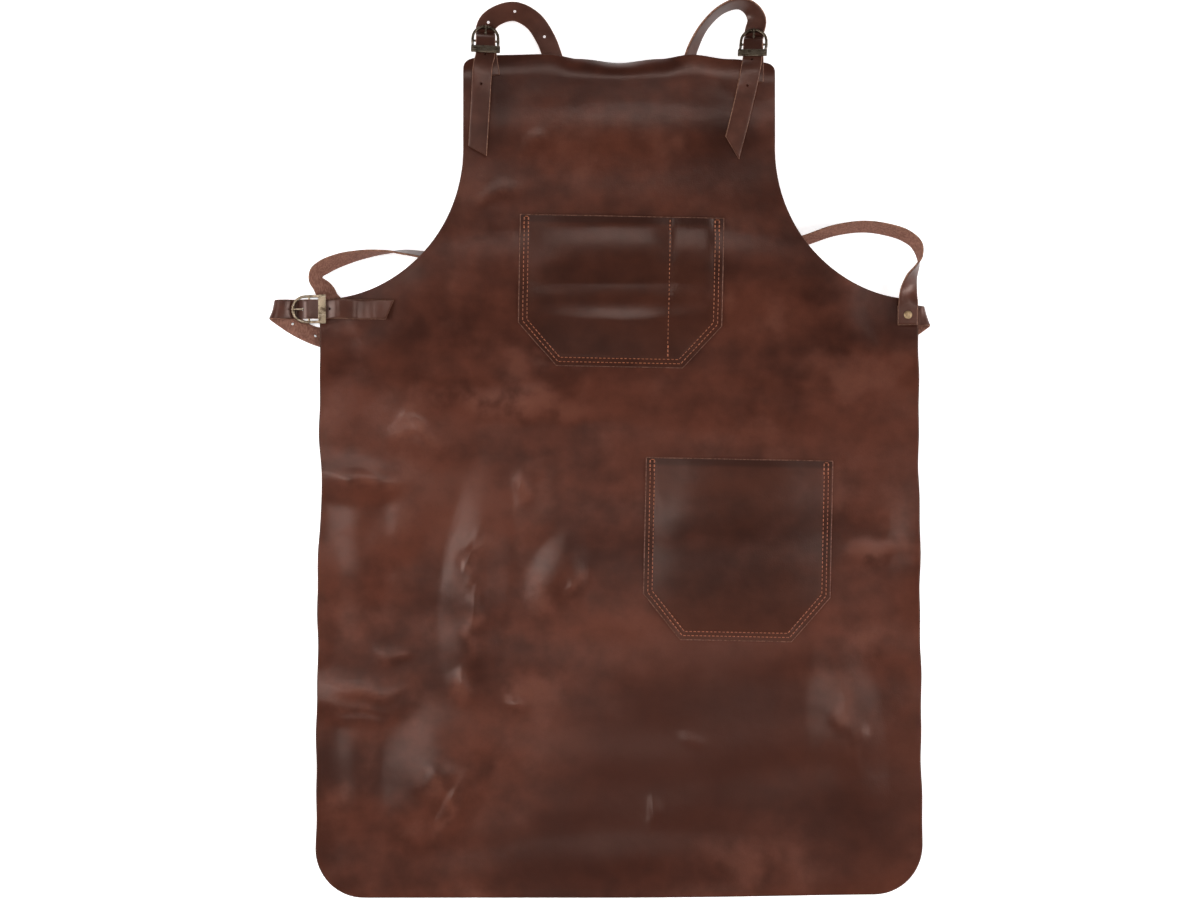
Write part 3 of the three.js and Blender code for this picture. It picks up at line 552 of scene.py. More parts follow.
# Each strap's stations before and after its buckle (x, y, z, left edge's compass direction, how far that edge
# is raised), its buckle, slanted end, holes as distances from the tail, and the rivet that it hangs on
STRAPS = {
    "left": Sizes(
        before=[
            stacked(SECOND_LAYER, (288, 275, 180), (288, 285, 180), (288, 295, 180)),
            stations(
                (289, 309, 11.8, 180, 28), (292, 322, 11.6, 180, 52), (298, 334, 11.2, 180, 78),
                (300, 343, 11.0, 0, 78), (297, 355, 10.2, 20, 58), (286, 364, 9.6, 48, 54),
                (268, 370, 9.6, 72, 56), (244, 373, 9.8, 88, 58), (214, 369, 10.0, 100, 60),
                (184, 359, 10.2, 108, 62), (146, 350, 10.6, 100, 66), (104, 354, 11.2, 80, 74),
                (66, 371, 11.6, 58, 84), (34, 396, 12.2, 225, 70), (6, 428, 12.2, 222, 48),
                (-22, 464, 8.6, 218, 26), (-46, 500, 5.6, 210, 10), (-62, 531, 4.6, 200, 0),
                (-73, 560, 4.6, 202, -2), (-86, 579, 4.8, 225, -6), (-104, 588, 6.0, 268, -10),
                (-119.5, 585, 6.4, 304, -8), (-130, 577.8, 5.8, 334, -2),
            ),
        ],
        after=stations(
            (-135.2, 533, 33.8, 0, 2), (-136.4, 518, 36.2, 0, 8), (-137.6, 495, 36.8, 0, 12),
            (-139.2, 470, 35.6, 0, 12), (-140.6, 447.5, 34.0, 0, 12),
        ),
        fitting="bib_left", slant=9.0, holes=(66.0, 97.5, 143.0, 172.5, 213.0), rivet=(288, 284),
    ),
    "right": Sizes(
        before=[
            stacked(BEHIND_TAB, (-271, 282, 42), (-280, 290.5, 40)),
            stacked(BEHIND_TAB - 0.3, (-290, 300.5, 36)),
            stations(
                (-292.5, 306.5, 2.3, 36, -3), (-298.8, 314, 7.6, 28, -42), (-303.4, 320.5, 9.6, 8, -54),
                (-301.5, 327.5, 9.2, -20, -46), (-294, 333, 9.0, -44, -42), (-279, 339.5, 9.6, -62, -50),
                (-258, 344.8, 10.8, -74, -66),
                (-234, 347.6, 11.4, -88, -84), (-213, 347.2, 11.2, 92, -76), (-188, 344, 10.6, 96, -66),
                (-146, 341, 10.0, 92, -58), (-100, 348, 8.6, 104, -46), (-54, 370, 5.8, 122, -26),
                (-12, 404, 2.7, 136, -6), (26, 446, 2.6, 142, 4), (52, 492, 5.8, 152, 28),
                (66, 526, 9.2, 164, 52), (74, 552, 10.0, 158, 60), (86, 574, 10.0, 138, 68),
                (103, 590, 10.0, 118, 68), (120, 595.6, 9.6, 92, 60), (132, 590, 8.6, 52, 42),
                (137.6, 579.5, 6.4, 12, 18),
            ),
        ],
        after=stations(
            (131, 530, 34.2, -6, -2), (128, 515, 36.4, -10, -8), (123.6, 495, 37.0, -12, -12),
            (118, 472, 36.2, -12, -12), (112.4, 450.5, 34.8, -12, -12),
        ),
        fitting="bib_right", slant=19.0, holes=(63.0, 91.5), rivet=(-280, 290.5),
    ),
    "waist": Sizes(
        before=[
            stacked(FIRST_LAYER, (278, 284, 90), (288, 284, 90), (297, 284, 90)),
            stations(
                (301.3, 284, 12.0, 90, 0), (304.8, 283.9, 10.6, 95, -12), (306.5, 283.2, 7.3, 108, -18),
                (305.5, 281.6, 4.0, 120, -12), (302.7, 279.5, 2.6, 125, 0), (292, 272, 2.0, 122, 0),
                (279, 265.4, 1.6, 108, 0), (264, 263.1, 1.4, 94, 0), (230, 263, 1.4, 90, 0),
                (0, 263, 1.4, 90, 0), (-230, 261, 1.4, 90, 0),
                (-262, 261, 1.4, 90, 0), (-278, 261, 1.6, 90, 0), (-296, 262, 3.2, 86, -10),
                (-310, 266.5, 5.6, 68, -26), (-324, 274.5, 3.4, 60, -12), (-335, 282, 1.9, 57, -2),
                (-342.4, 287.2, 2.8, 62, -6), (-345.4, 289.4, 5.8, 72, -16), (-342.4, 290.4, 8.6, 86, -8),
                (-335, 290.6, 7.4, 90, 0),
            ),
        ],
        after=stations(
            (-280, 291, 18.0, 90, 1), (-272.5, 290.6, 17.8, 90, 1), (-263, 290.2, 17.6, 90, 0),
            (-253.5, 290, 20.4, 90, 0), (-244, 289.9, 23.4, 90, 0), (-234.5, 289.7, 23.9, 90, 0),
            (-228.5, 289.6, 24.2, 90, 1),
        ),
        fitting="waist", slant=8.0, holes=(61.0, 150.0, 176.0), rivet=(288, 284),
    ),
}
PRONG_SPAN = 2.37  # where the strap crosses the prong's arm, in stations from the buckle's round end

TAB_LAYER = TAB.gap + TAB.thickness
RIVETS = {
    "bib_left": Sizes(x=-130.2, s=527.0, below=TAB_LAYER, above=PANEL.thickness + TAB_LAYER),
    "bib_right": Sizes(x=134.0, s=527.0, below=TAB_LAYER, above=PANEL.thickness + TAB_LAYER),
    "waist_left": Sizes(x=-280.0, s=290.5, below=TAB_LAYER + RIVET.gap + STRAP.thickness,
                        above=PANEL.thickness + TAB_LAYER),
    "waist_right": Sizes(x=288.0, s=284.0, below=RIVET.gap,
                         above=PANEL.thickness + 2 * (TAB.gap + STRAP.thickness)),
}
POCKETS = {
    "chest": Sizes(x=3.0, y=382.0, width=202.0, depth=148.0, corner_x=38.0, corner_y=42.0, turn=-1.1,
                   gape=7.5, divider=48.0),
    "hip": Sizes(x=120.5, y=140.5, width=186.0, depth=181.0, corner_x=37.5, corner_y=45.0, turn=-1.2,
                 gape=8.5, divider=None),
}


def from_edge(pocket, x, depth):
    """Distance of a pocket's point from its sewn outline: the least of side, slanted corner and bottom."""
    side, bottom = pocket.width / 2 - np.abs(x), pocket.depth - depth
    slope = np.hypot(1 / pocket.corner_x, 1 / pocket.corner_y)
    corner = (side / pocket.corner_x + bottom / pocket.corner_y - 1) / slope
    return np.minimum(np.minimum(side, bottom), corner)


def gape(pocket, x, depth):
    """How far a pocket stands off the hide: in each cell, gape · share · (1 - across⁴)^1.3 · up, where up
    falls from 1 at the mouth to 0 at the bottom seam and the slanted corners."""
    half = pocket.width / 2 - POCKET.seam
    walls = np.array([-half, half] if pocket.divider is None else [-half, pocket.divider, half])
    cell = np.clip(np.searchsorted(walls, x), 1, len(walls) - 1)
    start, end = walls[cell - 1], walls[cell]
    across = np.clip((2 * x - start - end) / (end - start), -1, 1)
    bottom = pocket.depth - depth
    corner = (pocket.width / 2 - np.abs(x)) / pocket.corner_x + bottom / pocket.corner_y - 1
    up = np.maximum(0, np.minimum((bottom - POCKET.seam) / (pocket.depth - POCKET.seam), corner))
    share = np.minimum(1, (end - start) / (1.15 * half))
    return pocket.gape * share * (1 - across**4) ** 1.3 * up


def on_pocket(pocket, x, depth, height):
    """A pocket's point at a height above its flesh side: its place on the hide plus gap, gape and height."""
    cos, sin = np.cos(np.radians(pocket.turn)), np.sin(np.radians(pocket.turn))
    lift = PANEL.thickness + POCKET.gap + gape(pocket, x, depth) + height
    return on_panel(pocket.x + x * cos + depth * sin, pocket.y + x * sin - depth * cos, lift)


def groove(pocket, x, depth):
    """How far the stitching draws the leather in: a bell across each row of stitches."""
    away = from_edge(pocket, x, depth)
    rows = [away - row for row in STITCH.rows]
    if pocket.divider is not None:
        rows.append(np.where(away > STITCH.rows[1], x - pocket.divider, STITCH.pitch))
    return sum(STITCH.groove * np.exp(-((row / STITCH.groove_width) ** 2)) for row in rows)


def pocket_sheet(pocket):
    """Grid over the pocket's outline, whose rows get shorter between its slanted corners."""
    half, inset = pocket.width / 2, POCKET.inset
    share = np.sort(np.append(rows_of(-half, half, POCKET.grid), [inset - half, half - inset])) / half
    straight = pocket.depth - pocket.corner_y
    depth = np.concatenate([[pocket.depth, pocket.depth - inset],
                            rows_of(pocket.depth - 2 * inset, straight, POCKET.grid),
                            rows_of(straight, 2 * inset, POCKET.grid)[1:], [inset, 0]])
    narrowed = pocket.corner_x * np.maximum(0, depth - straight) / pocket.corner_y
    x, depth = share * (half - narrowed)[:, None], np.broadcast_to(depth[:, None], (len(depth), len(share)))
    grain = on_pocket(pocket, x, depth, POCKET.thickness - groove(pocket, x, depth))[0]
    points, faces, marks = leather_sheet(grain, on_pocket(pocket, x, depth, 0 * x)[0])
    # a darker strip under the pocket's mouth, fading out between the two depths
    burnish = 1 - smooth(POCKET.burnish_from, POCKET.burnish_to, depth)
    return points, faces, marks | {"burnish": on_grain(burnish, len(points))}


def seam_line(pocket, inset):
    """The pocket's sewn outline moved in by an inset, its corners mitred, as points (x, depth)."""
    half, slope = pocket.width / 2, np.hypot(1 / pocket.corner_x, 1 / pocket.corner_y)
    upper = pocket.depth - pocket.corner_y * (1 + inset * slope - inset / pocket.corner_x)
    lower = half - pocket.corner_x * (1 + inset * slope - inset / pocket.corner_y)
    side, bottom = half - inset, pocket.depth - inset
    right = [(lower, bottom), (side, upper), (side, STITCH.from_mouth)]
    return np.array([(-x, depth) for x, depth in right[::-1]] + right)


def stitches_along(line):
    """Start and end (x, depth) of the stitches of each straight run of a line, at an even pitch."""
    found = []
    for start, end in zip(line, line[1:]):
        run = np.linalg.norm(end - start)
        count = max(1, int(round(run / STITCH.pitch)))
        middle = (np.arange(count)[:, None] + 0.5) / count
        reach = 0.5 * STITCH.length / STITCH.pitch / count
        found.append(np.stack([mix(start, end, middle - reach), mix(start, end, middle + reach)], 1))
    return np.concatenate(found)


def tack(start, end):
    """A back-tack: a few stitches sewn again beside a run that starts at a point, towards another."""
    start, end = np.array(start, float), np.array(end, float)
    along = unit(end - start)
    beside = 0.55 * np.array([-along[1], along[0]])
    return stitches_along(np.array([start + beside, start + beside + 3 * STITCH.pitch * along]))


def stitching(pocket):
    """Every stitch of a pocket as an arched thread: rings along its chord, on the bow 1 - (2 · share - 1)²
    that dips into the leather at both ends."""
    lines = [seam_line(pocket, inset) for inset in STITCH.rows]
    runs = [stitches_along(line) for line in lines]
    for outer, inner in ((lines[0][0], lines[1][0]), (lines[0][-1], lines[1][-1])):
        runs.append(np.array([[outer, inner]]))
        runs += [tack(outer, outer + [0, 1]), tack(inner, inner + [0, 1])]
    if pocket.divider is not None:
        top = (pocket.divider, STITCH.from_mouth)
        low = (pocket.divider, pocket.depth - STITCH.rows[1] - 2)
        runs += [stitches_along(np.array([top, low])), tack(top, low), tack(low, top)]
    ends = np.concatenate(runs)
    share = np.linspace(0, 1, STITCH.rings)
    chord = mix(ends[:, None, 0], ends[:, None, 1], share[None, :, None])
    bow = 1 - (2 * share - 1) ** 2
    x, depth = chord[..., 0], chord[..., 1]
    height = POCKET.thickness - groove(pocket, x, depth) + mix(STITCH.dip, STITCH.rise, bow)
    middle, up = on_pocket(pocket, x, depth, height)
    along = unit(np.gradient(middle, axis=1))
    left = unit(np.cross(up, along))
    normal = np.cross(along, left)
    radius = STITCH.radius * np.sqrt(np.clip(mix(0.2, 1.25, bow), 0, 1))[None, :, None, None]
    angle = np.linspace(0, 2 * np.pi, STITCH.sides, endpoint=False)[:, None]
    round_it = normal[:, :, None] * np.cos(angle) + left[:, :, None] * np.sin(angle)
    return joined(*(skin(rings) for rings in middle[:, :, None] + radius * round_it))


def panel_sheet():
    """The hide: a grid whose rows run from hem to rolled top edge, closer where the outline curves."""
    quarter = np.pi / 2
    s = np.concatenate([
        PANEL.hem + PANEL.hem_radius * (1 - np.cos(np.linspace(0, quarter, GRID.hem_rows))),
        rows_of(PANEL.hem + PANEL.hem_radius, PANEL.waist, GRID.row)[1:],
        PANEL.waist + PANEL.armhole * (1 - np.cos(np.linspace(0, quarter, GRID.armhole_rows)[1:])),
        rows_of(PANEL.waist + PANEL.armhole, PANEL.bib, GRID.row)[1:],
        PANEL.bib + np.append(rows_of(0, PANEL.roll - GRID.inset, GRID.roll_row)[1:], PANEL.roll),
    ])
    inset = GRID.inset / PANEL.waist
    share = np.sort(np.append(np.linspace(-1, 1, GRID.columns), [inset - 1, 1 - inset]))
    u, s = np.meshgrid(share, s)
    x = cut_edge(u, s)
    grain = on_panel(x, s, np.full(x.shape, PANEL.thickness))[0]
    flesh = on_panel(x, s, 0 * x)[0]
    points, faces, marks = leather_sheet(grain, flesh)
    # how pale each crease is: partly pulled-up wax paling, partly a painted highlight
    marks["pull"] = on_grain(ridges(CREASES, *crumpled(x, s)) / PALEST_CREASE_AND_HIGHLIGHT, len(points))
    # the hide's darker places, and painted shadows beside the bib strap tails
    marks["burnish"] = on_grain(ridges(DARKER_AND_TAIL_SHADOWS, x, s), len(points))
    return points, faces, marks


def rounded_bar(middles, along, wide, half_wide, half_high, power):
    """Bar with a rounded oblong section along middles: a superellipse |across|^power + |up|^power = 1 of the
    two half sizes, across in the direction wide and up along (along × wide)."""
    angle = np.linspace(0, 2 * np.pi, 24, endpoint=False)
    across, up = (np.sign(value) * np.abs(value) ** (2 / power) for value in (np.sin(angle), np.cos(angle)))
    across = half_wide[:, None, None] * across[:, None]
    up = half_high[:, None, None] * up[:, None]
    return skin(middles[:, None] + across * np.array(wide, float) + up * np.cross(along, wide))


def buckle_frame():
    """Round-ended wire frame with two knobs beside the prong's seat, a raised flat plate and the bar."""
    rail = np.array([
        (BUCKLE.plate_at, BUCKLE.rail, BUCKLE.plate_height), (9.5, BUCKLE.rail, 7.0), (4.0, BUCKLE.rail, 1.6),
        (-1.5, BUCKLE.rail, 0), (-8.0, 0.93 * BUCKLE.rail, 0), (-13.2, 0.66 * BUCKLE.rail, 0),
        (-15.7, 0.27 * BUCKLE.rail, 0), (BUCKLE.nose, 0, 0),
    ])
    hoop = np.concatenate([rail, rail[-2::-1] * (1, -1, 1)])
    path, along = through(hoop, np.linspace(0, len(hoop) - 1, 141))
    knob = np.exp(-(((np.abs(path[:, 1]) - BUCKLE.knob_at) / BUCKLE.knob_width) ** 2)) * (path[:, 0] < 0)
    half = BUCKLE.plate_length / 2
    across = np.array([-1, -0.99, -0.965, -0.93, 0.93, 0.965, 0.99, 1]) * half
    inset = np.array([0.75, 0.3, 0.08, 0, 0, 0.08, 0.3, 0.75])
    middles = np.stack([0 * across + BUCKLE.plate_at, across, 0 * across + BUCKLE.plate_height], 1)
    plate = rounded_bar(middles, (0, 1, 0), (1, 0, 0), BUCKLE.plate_width / 2 - inset,
                        BUCKLE.plate_thickness / 2 - 0.4 * inset, power=7)
    ends = np.linspace(-BUCKLE.rail, BUCKLE.rail, 12)
    bar = tube(np.stack([0 * ends, ends, 0 * ends], 1), np.tile([0.0, 1, 0], (12, 1)), BUCKLE.bar)
    return joined(tube(path, along, BUCKLE.wire + BUCKLE.knob * knob), plate, bar)


def buckle_prong():
    """Ring round the bar, and an arm that tapers to a tip bent over the frame's round end."""
    angle = np.linspace(0, 2 * np.pi, 37)
    inner = BUCKLE.bar + PRONG.slack
    middle, thick = (inner + PRONG.ring) / 2, (PRONG.ring - inner) / 2
    round_bar = np.stack([-np.sin(angle), 0 * angle, np.cos(angle)], 1)
    ring = tube(middle * upright_circle(angle), round_bar, thick, 12, (0, 1, 0))
    share = np.linspace(0, 1, 15)
    x = mix(-1.6, PRONG.tip - 0.5, share)
    z = mix(1.1, PRONG.tip_height + 0.25, share) - 1.5 * smooth(0.9, 1.0, share)
    narrow = np.sqrt(np.clip(1 - (np.maximum(0, share - 0.86) / 0.15) ** 2, 0.04, 1))
    wide, high = PRONG.width / 2 * mix(1.0, 0.85, share), mix(1.5, 0.8, share)
    middles = np.stack([x, 0 * x, z], 1)
    return joined(ring, rounded_bar(middles, (-1, 0, 0), (0, 1, 0), wide * narrow, high * narrow, power=3))


def rivet(spec):
    """A profile turned round the hide's normal: flat cap behind, shank, and a domed head in front."""
    place, normal = on_panel(spec.x, spec.s, -spec.below - RIVET.gap)
    grip = spec.below + spec.above + 2 * RIVET.gap
    dome = np.radians(np.linspace(0, 80, 9))
    outline = np.array([
        (RIVET.cap - 0.3, -RIVET.cap_thickness), (RIVET.cap, -RIVET.cap_thickness + 0.3), (RIVET.cap, -0.1),
        (RIVET.cap - 0.2, 0), (RIVET.shank, 0), (RIVET.shank, grip), (RIVET.dome - 0.35, grip),
        (RIVET.dome, grip + 0.2),
        *zip(RIVET.dome * np.cos(dome) - 0.12, grip + 0.45 + (RIVET.rise - 0.45) * np.sin(dome)),
    ])
    left = unit(np.cross(normal, (0, 1, 0)))
    angle = np.linspace(0, 2 * np.pi, 32, endpoint=False)[:, None]
    ring = np.cross(normal, left) * np.cos(angle) + left * np.sin(angle)
    return skin(place + outline[:, 1, None, None] * normal + outline[:, 0, None, None] * ring)


def srgb(red, green, blue):
    """Linear colour from display values of 0 to 255."""
    share = np.array([red, green, blue]) / 255
    linear = np.where(share <= 0.04045, share / 12.92, ((share + 0.055) / 1.055) ** 2.4)
    return (*linear.tolist(), 1.0)


class Socket:
    """An output of a shader node. Arithmetic on it adds Math nodes."""

    def __init__(self, finish, output):
        self.finish = finish
        self.output = output

    def math(self, operation, other):
        """The outcome of an operation on this output and another, or a number."""
        return self.finish.node("ShaderNodeMath", {"operation": operation}, {0: self, 1: other})

    def __add__(self, other):
        return self.math("ADD", other)

    def __sub__(self, other):
        return self.math("SUBTRACT", other)

    def __rsub__(self, other):
        return self.finish.node("ShaderNodeMath", {"operation": "SUBTRACT"}, {0: other, 1: self})

    def __mul__(self, other):
        return self.math("MULTIPLY", other)

    __radd__ = __add__
    __rmul__ = __mul__


class Finish:
    """A procedural material. node() adds any node from its type, its settings and its sockets."""

    def __init__(self, name):
        self.material = bpy.data.materials.new(name)
        self.material.use_nodes = True
        self.tree = self.material.node_tree
        self.tree.nodes.clear()
        self.place = self.node("ShaderNodeTexCoord", output="Object")

    def node(self, kind, settings=None, sockets=None, output=0):
        """One output of a new node."""
        node = self.tree.nodes.new(kind)
        for name, value in (settings or {}).items():
            setattr(node, name, value)
        for name, value in (sockets or {}).items():
            if isinstance(value, Socket):
                self.tree.links.new(value.output, node.inputs[name])
            else:
                node.inputs[name].default_value = value
        return Socket(self, node.outputs[output]) if node.outputs else None

    def noise(self, scale, detail=3.0, stretch=(1, 1, 1), turn=0.0, shift=0.0):
        """Cloudy noise from 0 to 1, its features 1 / scale metres wide, stretched along turned axes."""
        at = self.node("ShaderNodeMapping", None, {
            "Vector": self.place, "Location": (shift, shift, shift), "Rotation": (0, 0, turn),
            "Scale": stretch})
        return self.node("ShaderNodeTexNoise", None, {"Vector": at, "Scale": scale, "Detail": detail})

    def pebbles(self, scale):
        """Distance from the middle of each cell of the grain."""
        return self.node("ShaderNodeTexVoronoi", None, {"Vector": self.place, "Scale": scale})

    def creases(self, rows):
        """Sum of height · (1 - distance)² in millimetres, where distance is 1 at the edge of each row's oval.
        Noise moves each place by up to the wander, so half of it is added to the ovals' middles."""
        wander = 4.0 * MM
        noise = self.node("ShaderNodeTexNoise", None, {"Vector": self.place, "Scale": 60.0}, "Color")
        place = self.node("ShaderNodeVectorMath", {"operation": "MULTIPLY_ADD"},
                          {0: noise, 1: (wander, wander, 0), 2: self.place})
        total = 0
        for x, y, turn, length, width, height in zip(*vars(rows).values()):
            oval = self.node("ShaderNodeMapping", {"vector_type": "TEXTURE"}, {
                "Vector": place,
                "Location": (x * MM + wander / 2, y * MM + wander / 2, 0),
                "Rotation": (0, 0, np.radians(turn)),
                "Scale": (length / 2 * MM, width / 2 * MM, 1)})
            away = self.node("ShaderNodeVectorMath", {"operation": "LENGTH"}, {0: oval}, "Value")
            inside = (1 - away).math("MAXIMUM", 0)
            total = total + inside * inside * height
        return total

    def mark(self, name):
        """A value that the mesh carries at its points."""
        return self.node("ShaderNodeAttribute", {"attribute_name": name}, output="Fac")

    def between(self, value, low, high, start=0.0, end=1.0):
        """The value's way from low to high as a smooth step from start to end."""
        return self.node("ShaderNodeMapRange", {"interpolation_type": "SMOOTHSTEP"},
                         {0: value, 1: low, 2: high, 3: start, 4: end})

    def blend(self, share, first, second):
        """The colour a share of the way from the first to the second."""
        return self.node("ShaderNodeMix", {"data_type": "RGBA"}, {0: share, 6: first, 7: second}, 2)

    def bump(self, height, distance):
        """Normal of a relief whose height of 1 stands a distance in metres."""
        return self.node("ShaderNodeBump", None, {"Height": height, "Distance": distance, "Strength": 1.0})

    def surface(self, sockets):
        """The finished material, from the sockets of its shader."""
        shader = self.node("ShaderNodeBsdfPrincipled", None, sockets)
        self.node("ShaderNodeOutputMaterial", None, {"Surface": shader})
        return self.material


RELIEF = 0.00022  # how high a relief of 1 stands on leather, in metres
BARE_ROUGHNESS = 0.93  # of the flesh side and the raw edges
WAX_TINT = (1.0, 0.77, 0.69, 1.0)
DIRT = srgb(48, 37, 29)


def leather(name, look):
    """Waxed hide: hand-wide clouds of light and dark brown, streaks along the stretch of the hide, flecks,
    and creases paled as pulled-up waxed leather pales, which also paints a highlight on them. Marked places
    are darkened, among them painted shadows beside the bib strap tails. Its flesh side is a dull suede and
    its cut edge is raw."""
    finish = Finish(name)
    clouds = finish.noise(4.2, 4.0)
    streaks = finish.noise(8.0, 5.0, (0.42, 1.7, 1.0), look.turn, 3.1)
    mottle = finish.noise(46, 5.0, shift=4.2)
    flecks = finish.noise(420, 3.0, shift=1.7)
    tone = finish.between(0.38 * clouds + 0.36 * streaks + 0.26 * mottle, 0.36, 0.63)
    brown = finish.blend(tone, look.dark, look.light)
    worn = finish.noise(16, 6.0, shift=5.3)
    brown = finish.blend(finish.between(worn, 0.53, 0.76) * look.wear, brown, look.worn)
    brown = finish.blend(finish.between(flecks, 0.5, 0.75) * 0.12, brown, look.dark)
    # creases paled towards the worn colour: partly the pale of pulled-up waxed leather, partly a painted
    # highlight
    pale = finish.mark("pull") * finish.between(mottle, 0.3, 0.62, 0.1, 0.6)
    brown = finish.blend(pale, brown, look.worn)
    # darkens where marked: the hide's darker places, the painted shadows beside the bib strap tails, and the
    # darker strip under each pocket's mouth
    brown = finish.blend(finish.mark("burnish") * 0.8, brown, look.dark)
    fibres = finish.noise(620, 4.0, (1.0, 0.45, 1.0))
    suede = finish.blend(finish.between(fibres, 0.35, 0.68), look.suede_dark, look.suede)
    flesh = finish.mark("flesh")
    edge = finish.mark("edge")
    raw = finish.blend(finish.between(flecks, 0.35, 0.7), look.raw_dark, look.raw)
    colour = finish.blend(finish.between(edge, 0.35, 0.75), finish.blend(flesh, brown, suede), raw)
    dullest = look.shine + look.shine_range
    dull = finish.between(finish.noise(11, 4.0, shift=8.0), 0.38, 0.66, look.shine, dullest)
    rough = dull + finish.between(flecks, 0.45, 0.75) * 0.02
    bare = finish.between(flesh + edge, 0.2, 0.8)
    rough = rough + bare * (BARE_ROUGHNESS - rough)
    grain = finish.pebbles(760) * 0.16 + finish.noise(1200, 2.0) * 0.1 + finish.noise(90, 4.0) * 0.6
    relief = (grain + finish.noise(34, 2.0, shift=6.6) * look.wave) * (1 - bare) + fibres * bare * 1.6
    if look.pinches:
        relief = relief + finish.creases(look.pinches) * (1 - bare) * (MM / RELIEF)
    return finish.surface({
        "Base Color": colour,
        "Roughness": rough,
        "Specular IOR Level": look.gloss,
        "Specular Tint": WAX_TINT,
        "Normal": finish.bump(relief, RELIEF),
    })


def brass(name, bright, dark, scratched, rough):
    """Aged brass: dull yellow-grey metal with darker tarnish in patches, fine scratches and a little dirt."""
    finish = Finish(name)
    tarnish = finish.between(finish.noise(150, 5.0), 0.42, 0.66)
    scratches = finish.between(finish.noise(900, 3.0, (0.06, 1.0, 1.0), 0.5), 0.54, 0.7)
    specks = finish.between(finish.noise(1100, 2.0, shift=2.0), 0.56, 0.72)
    colour = finish.blend(tarnish, bright, dark)
    colour = finish.blend(scratches * 0.6, colour, scratched)
    colour = finish.blend(specks * 0.6, colour, DIRT)
    return finish.surface({
        "Base Color": colour,
        "Metallic": 1.0,
        "Roughness": finish.between(tarnish - scratches * 0.5, 0.0, 1.0, rough, rough + 0.15),
        "Normal": finish.bump(tarnish * 0.4 + scratches * 0.5 + specks * 0.3, 0.00006),
    })


def thread():
    """Waxed sewing thread: orange-tan with a twist."""
    finish = Finish("waxed_thread")
    twist = finish.noise(1500, 2.0, (1.0, 0.4, 1.0), 0.7)
    colour = finish.blend(finish.between(twist, 0.35, 0.65), srgb(122, 62, 36), srgb(182, 106, 66))
    return finish.surface({
        "Base Color": colour,
        "Roughness": 0.55,
        "Normal": finish.bump(twist, 0.0001),
    })


COMMON = dict(suede=srgb(140, 98, 83), suede_dark=srgb(112, 74, 61), wear=0.4, shine=0.3)
LOOKS = {
    "panel_leather": Sizes(
        dark=srgb(50, 22, 14), light=srgb(87, 45, 32), worn=srgb(115, 70, 56), raw=srgb(96, 62, 50),
        raw_dark=srgb(60, 36, 28), turn=0.0, wave=2.0, gloss=0.36, shine_range=0.05, pinches=PINCHES,
        **COMMON),
    "pocket_leather": Sizes(
        dark=srgb(43, 19, 12), light=srgb(69, 35, 24), worn=srgb(86, 48, 38), raw=srgb(134, 92, 76),
        raw_dark=srgb(88, 56, 44), turn=0.0, wave=2.0, gloss=0.36, shine_range=0.05, pinches=None, **COMMON),
    "strap_leather": Sizes(
        dark=srgb(54, 28, 20), light=srgb(93, 55, 44), worn=srgb(98, 61, 50), raw=srgb(158, 116, 94),
        raw_dark=srgb(110, 74, 58), turn=0.6, wave=5.0, gloss=0.42, shine_range=0.06, pinches=None, **COMMON),
}
METALS = {
    "aged_brass": (srgb(172, 153, 128), srgb(98, 80, 62), srgb(212, 198, 178), 0.38),
    # a darker copy of the aged brass for the bib buckles: painted shade
    "brass_painted_shade": (srgb(122, 108, 92), srgb(70, 58, 47), srgb(168, 155, 136), 0.38),
    "satin_brass": (srgb(186, 160, 126), srgb(160, 134, 102), srgb(196, 172, 138), 0.6),
}
FINISHES = {name: leather(name, look) for name, look in LOOKS.items()}
FINISHES |= {name: brass(name, *look) for name, look in METALS.items()}
THREAD = thread()
SHARP = np.radians(55)  # faces that meet at a larger angle keep a sharp edge


def add_object(name, data):
    """An object in the scene that shows a mesh, lamp or camera."""
    found = bpy.data.objects.new(name, data)
    bpy.context.scene.collection.objects.link(found)
    return found


def add_piece(name, shape, slot=None, node=None, finish=None):
    """A mesh object at the origin, with the marks of its shape, if any. It rides on the apron, and stands for
    a CAD node where one is named."""
    points, faces, *marks = shape
    mesh = bpy.data.meshes.new(name)
    mesh.from_pydata((points * MM).tolist(), [], faces)
    for mark, values in dict(*marks).items():
        mesh.attributes.new(mark, "FLOAT", "POINT").data.foreach_set("value", values.astype(np.float32))
    mesh.shade_smooth()
    mesh.set_sharp_from_angle(angle=SHARP)
    mesh.materials.append(FINISHES[finish or slot] if slot else THREAD)
    piece = add_object(name, mesh)
    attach(piece, "root")
    if node:
        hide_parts(node)
    return piece


hide = add_piece("hide_panel", panel_sheet(), "panel_leather", "apron_panel")

for name, pocket in POCKETS.items():
    add_piece(f"{name}_patch", pocket_sheet(pocket), "pocket_leather", f"{name}_pocket")
    add_piece(f"{name}_stitching", stitching(pocket))

for name, strap in STRAPS.items():
    fitting = FITTINGS[strap.fitting]
    route = Route(*strap.before, fitting.through_buckle(), strap.after)
    first = sum(len(places) for places, edges in strap.before)
    riveted = route.nearest(on_panel(*strap.rivet, FIRST_LAYER)[0])
    holes = [(route.arc[-1] - distance, STRAP.hole, STRAP.hole, ROUND) for distance in strap.holes]
    holes.append((route.arc_at(first + PRONG_SPAN), *STRAP.prong_hole, ROUND))
    holes.append((riveted, STRAP.rivet_hole, STRAP.rivet_hole, ROUND))
    node = "waist_strap" if name == "waist" else f"shoulder_strap_{name}"
    add_piece(f"strap_{name}", strip_of_leather(route, STRAP, holes, strap.slant), "strap_leather", node)

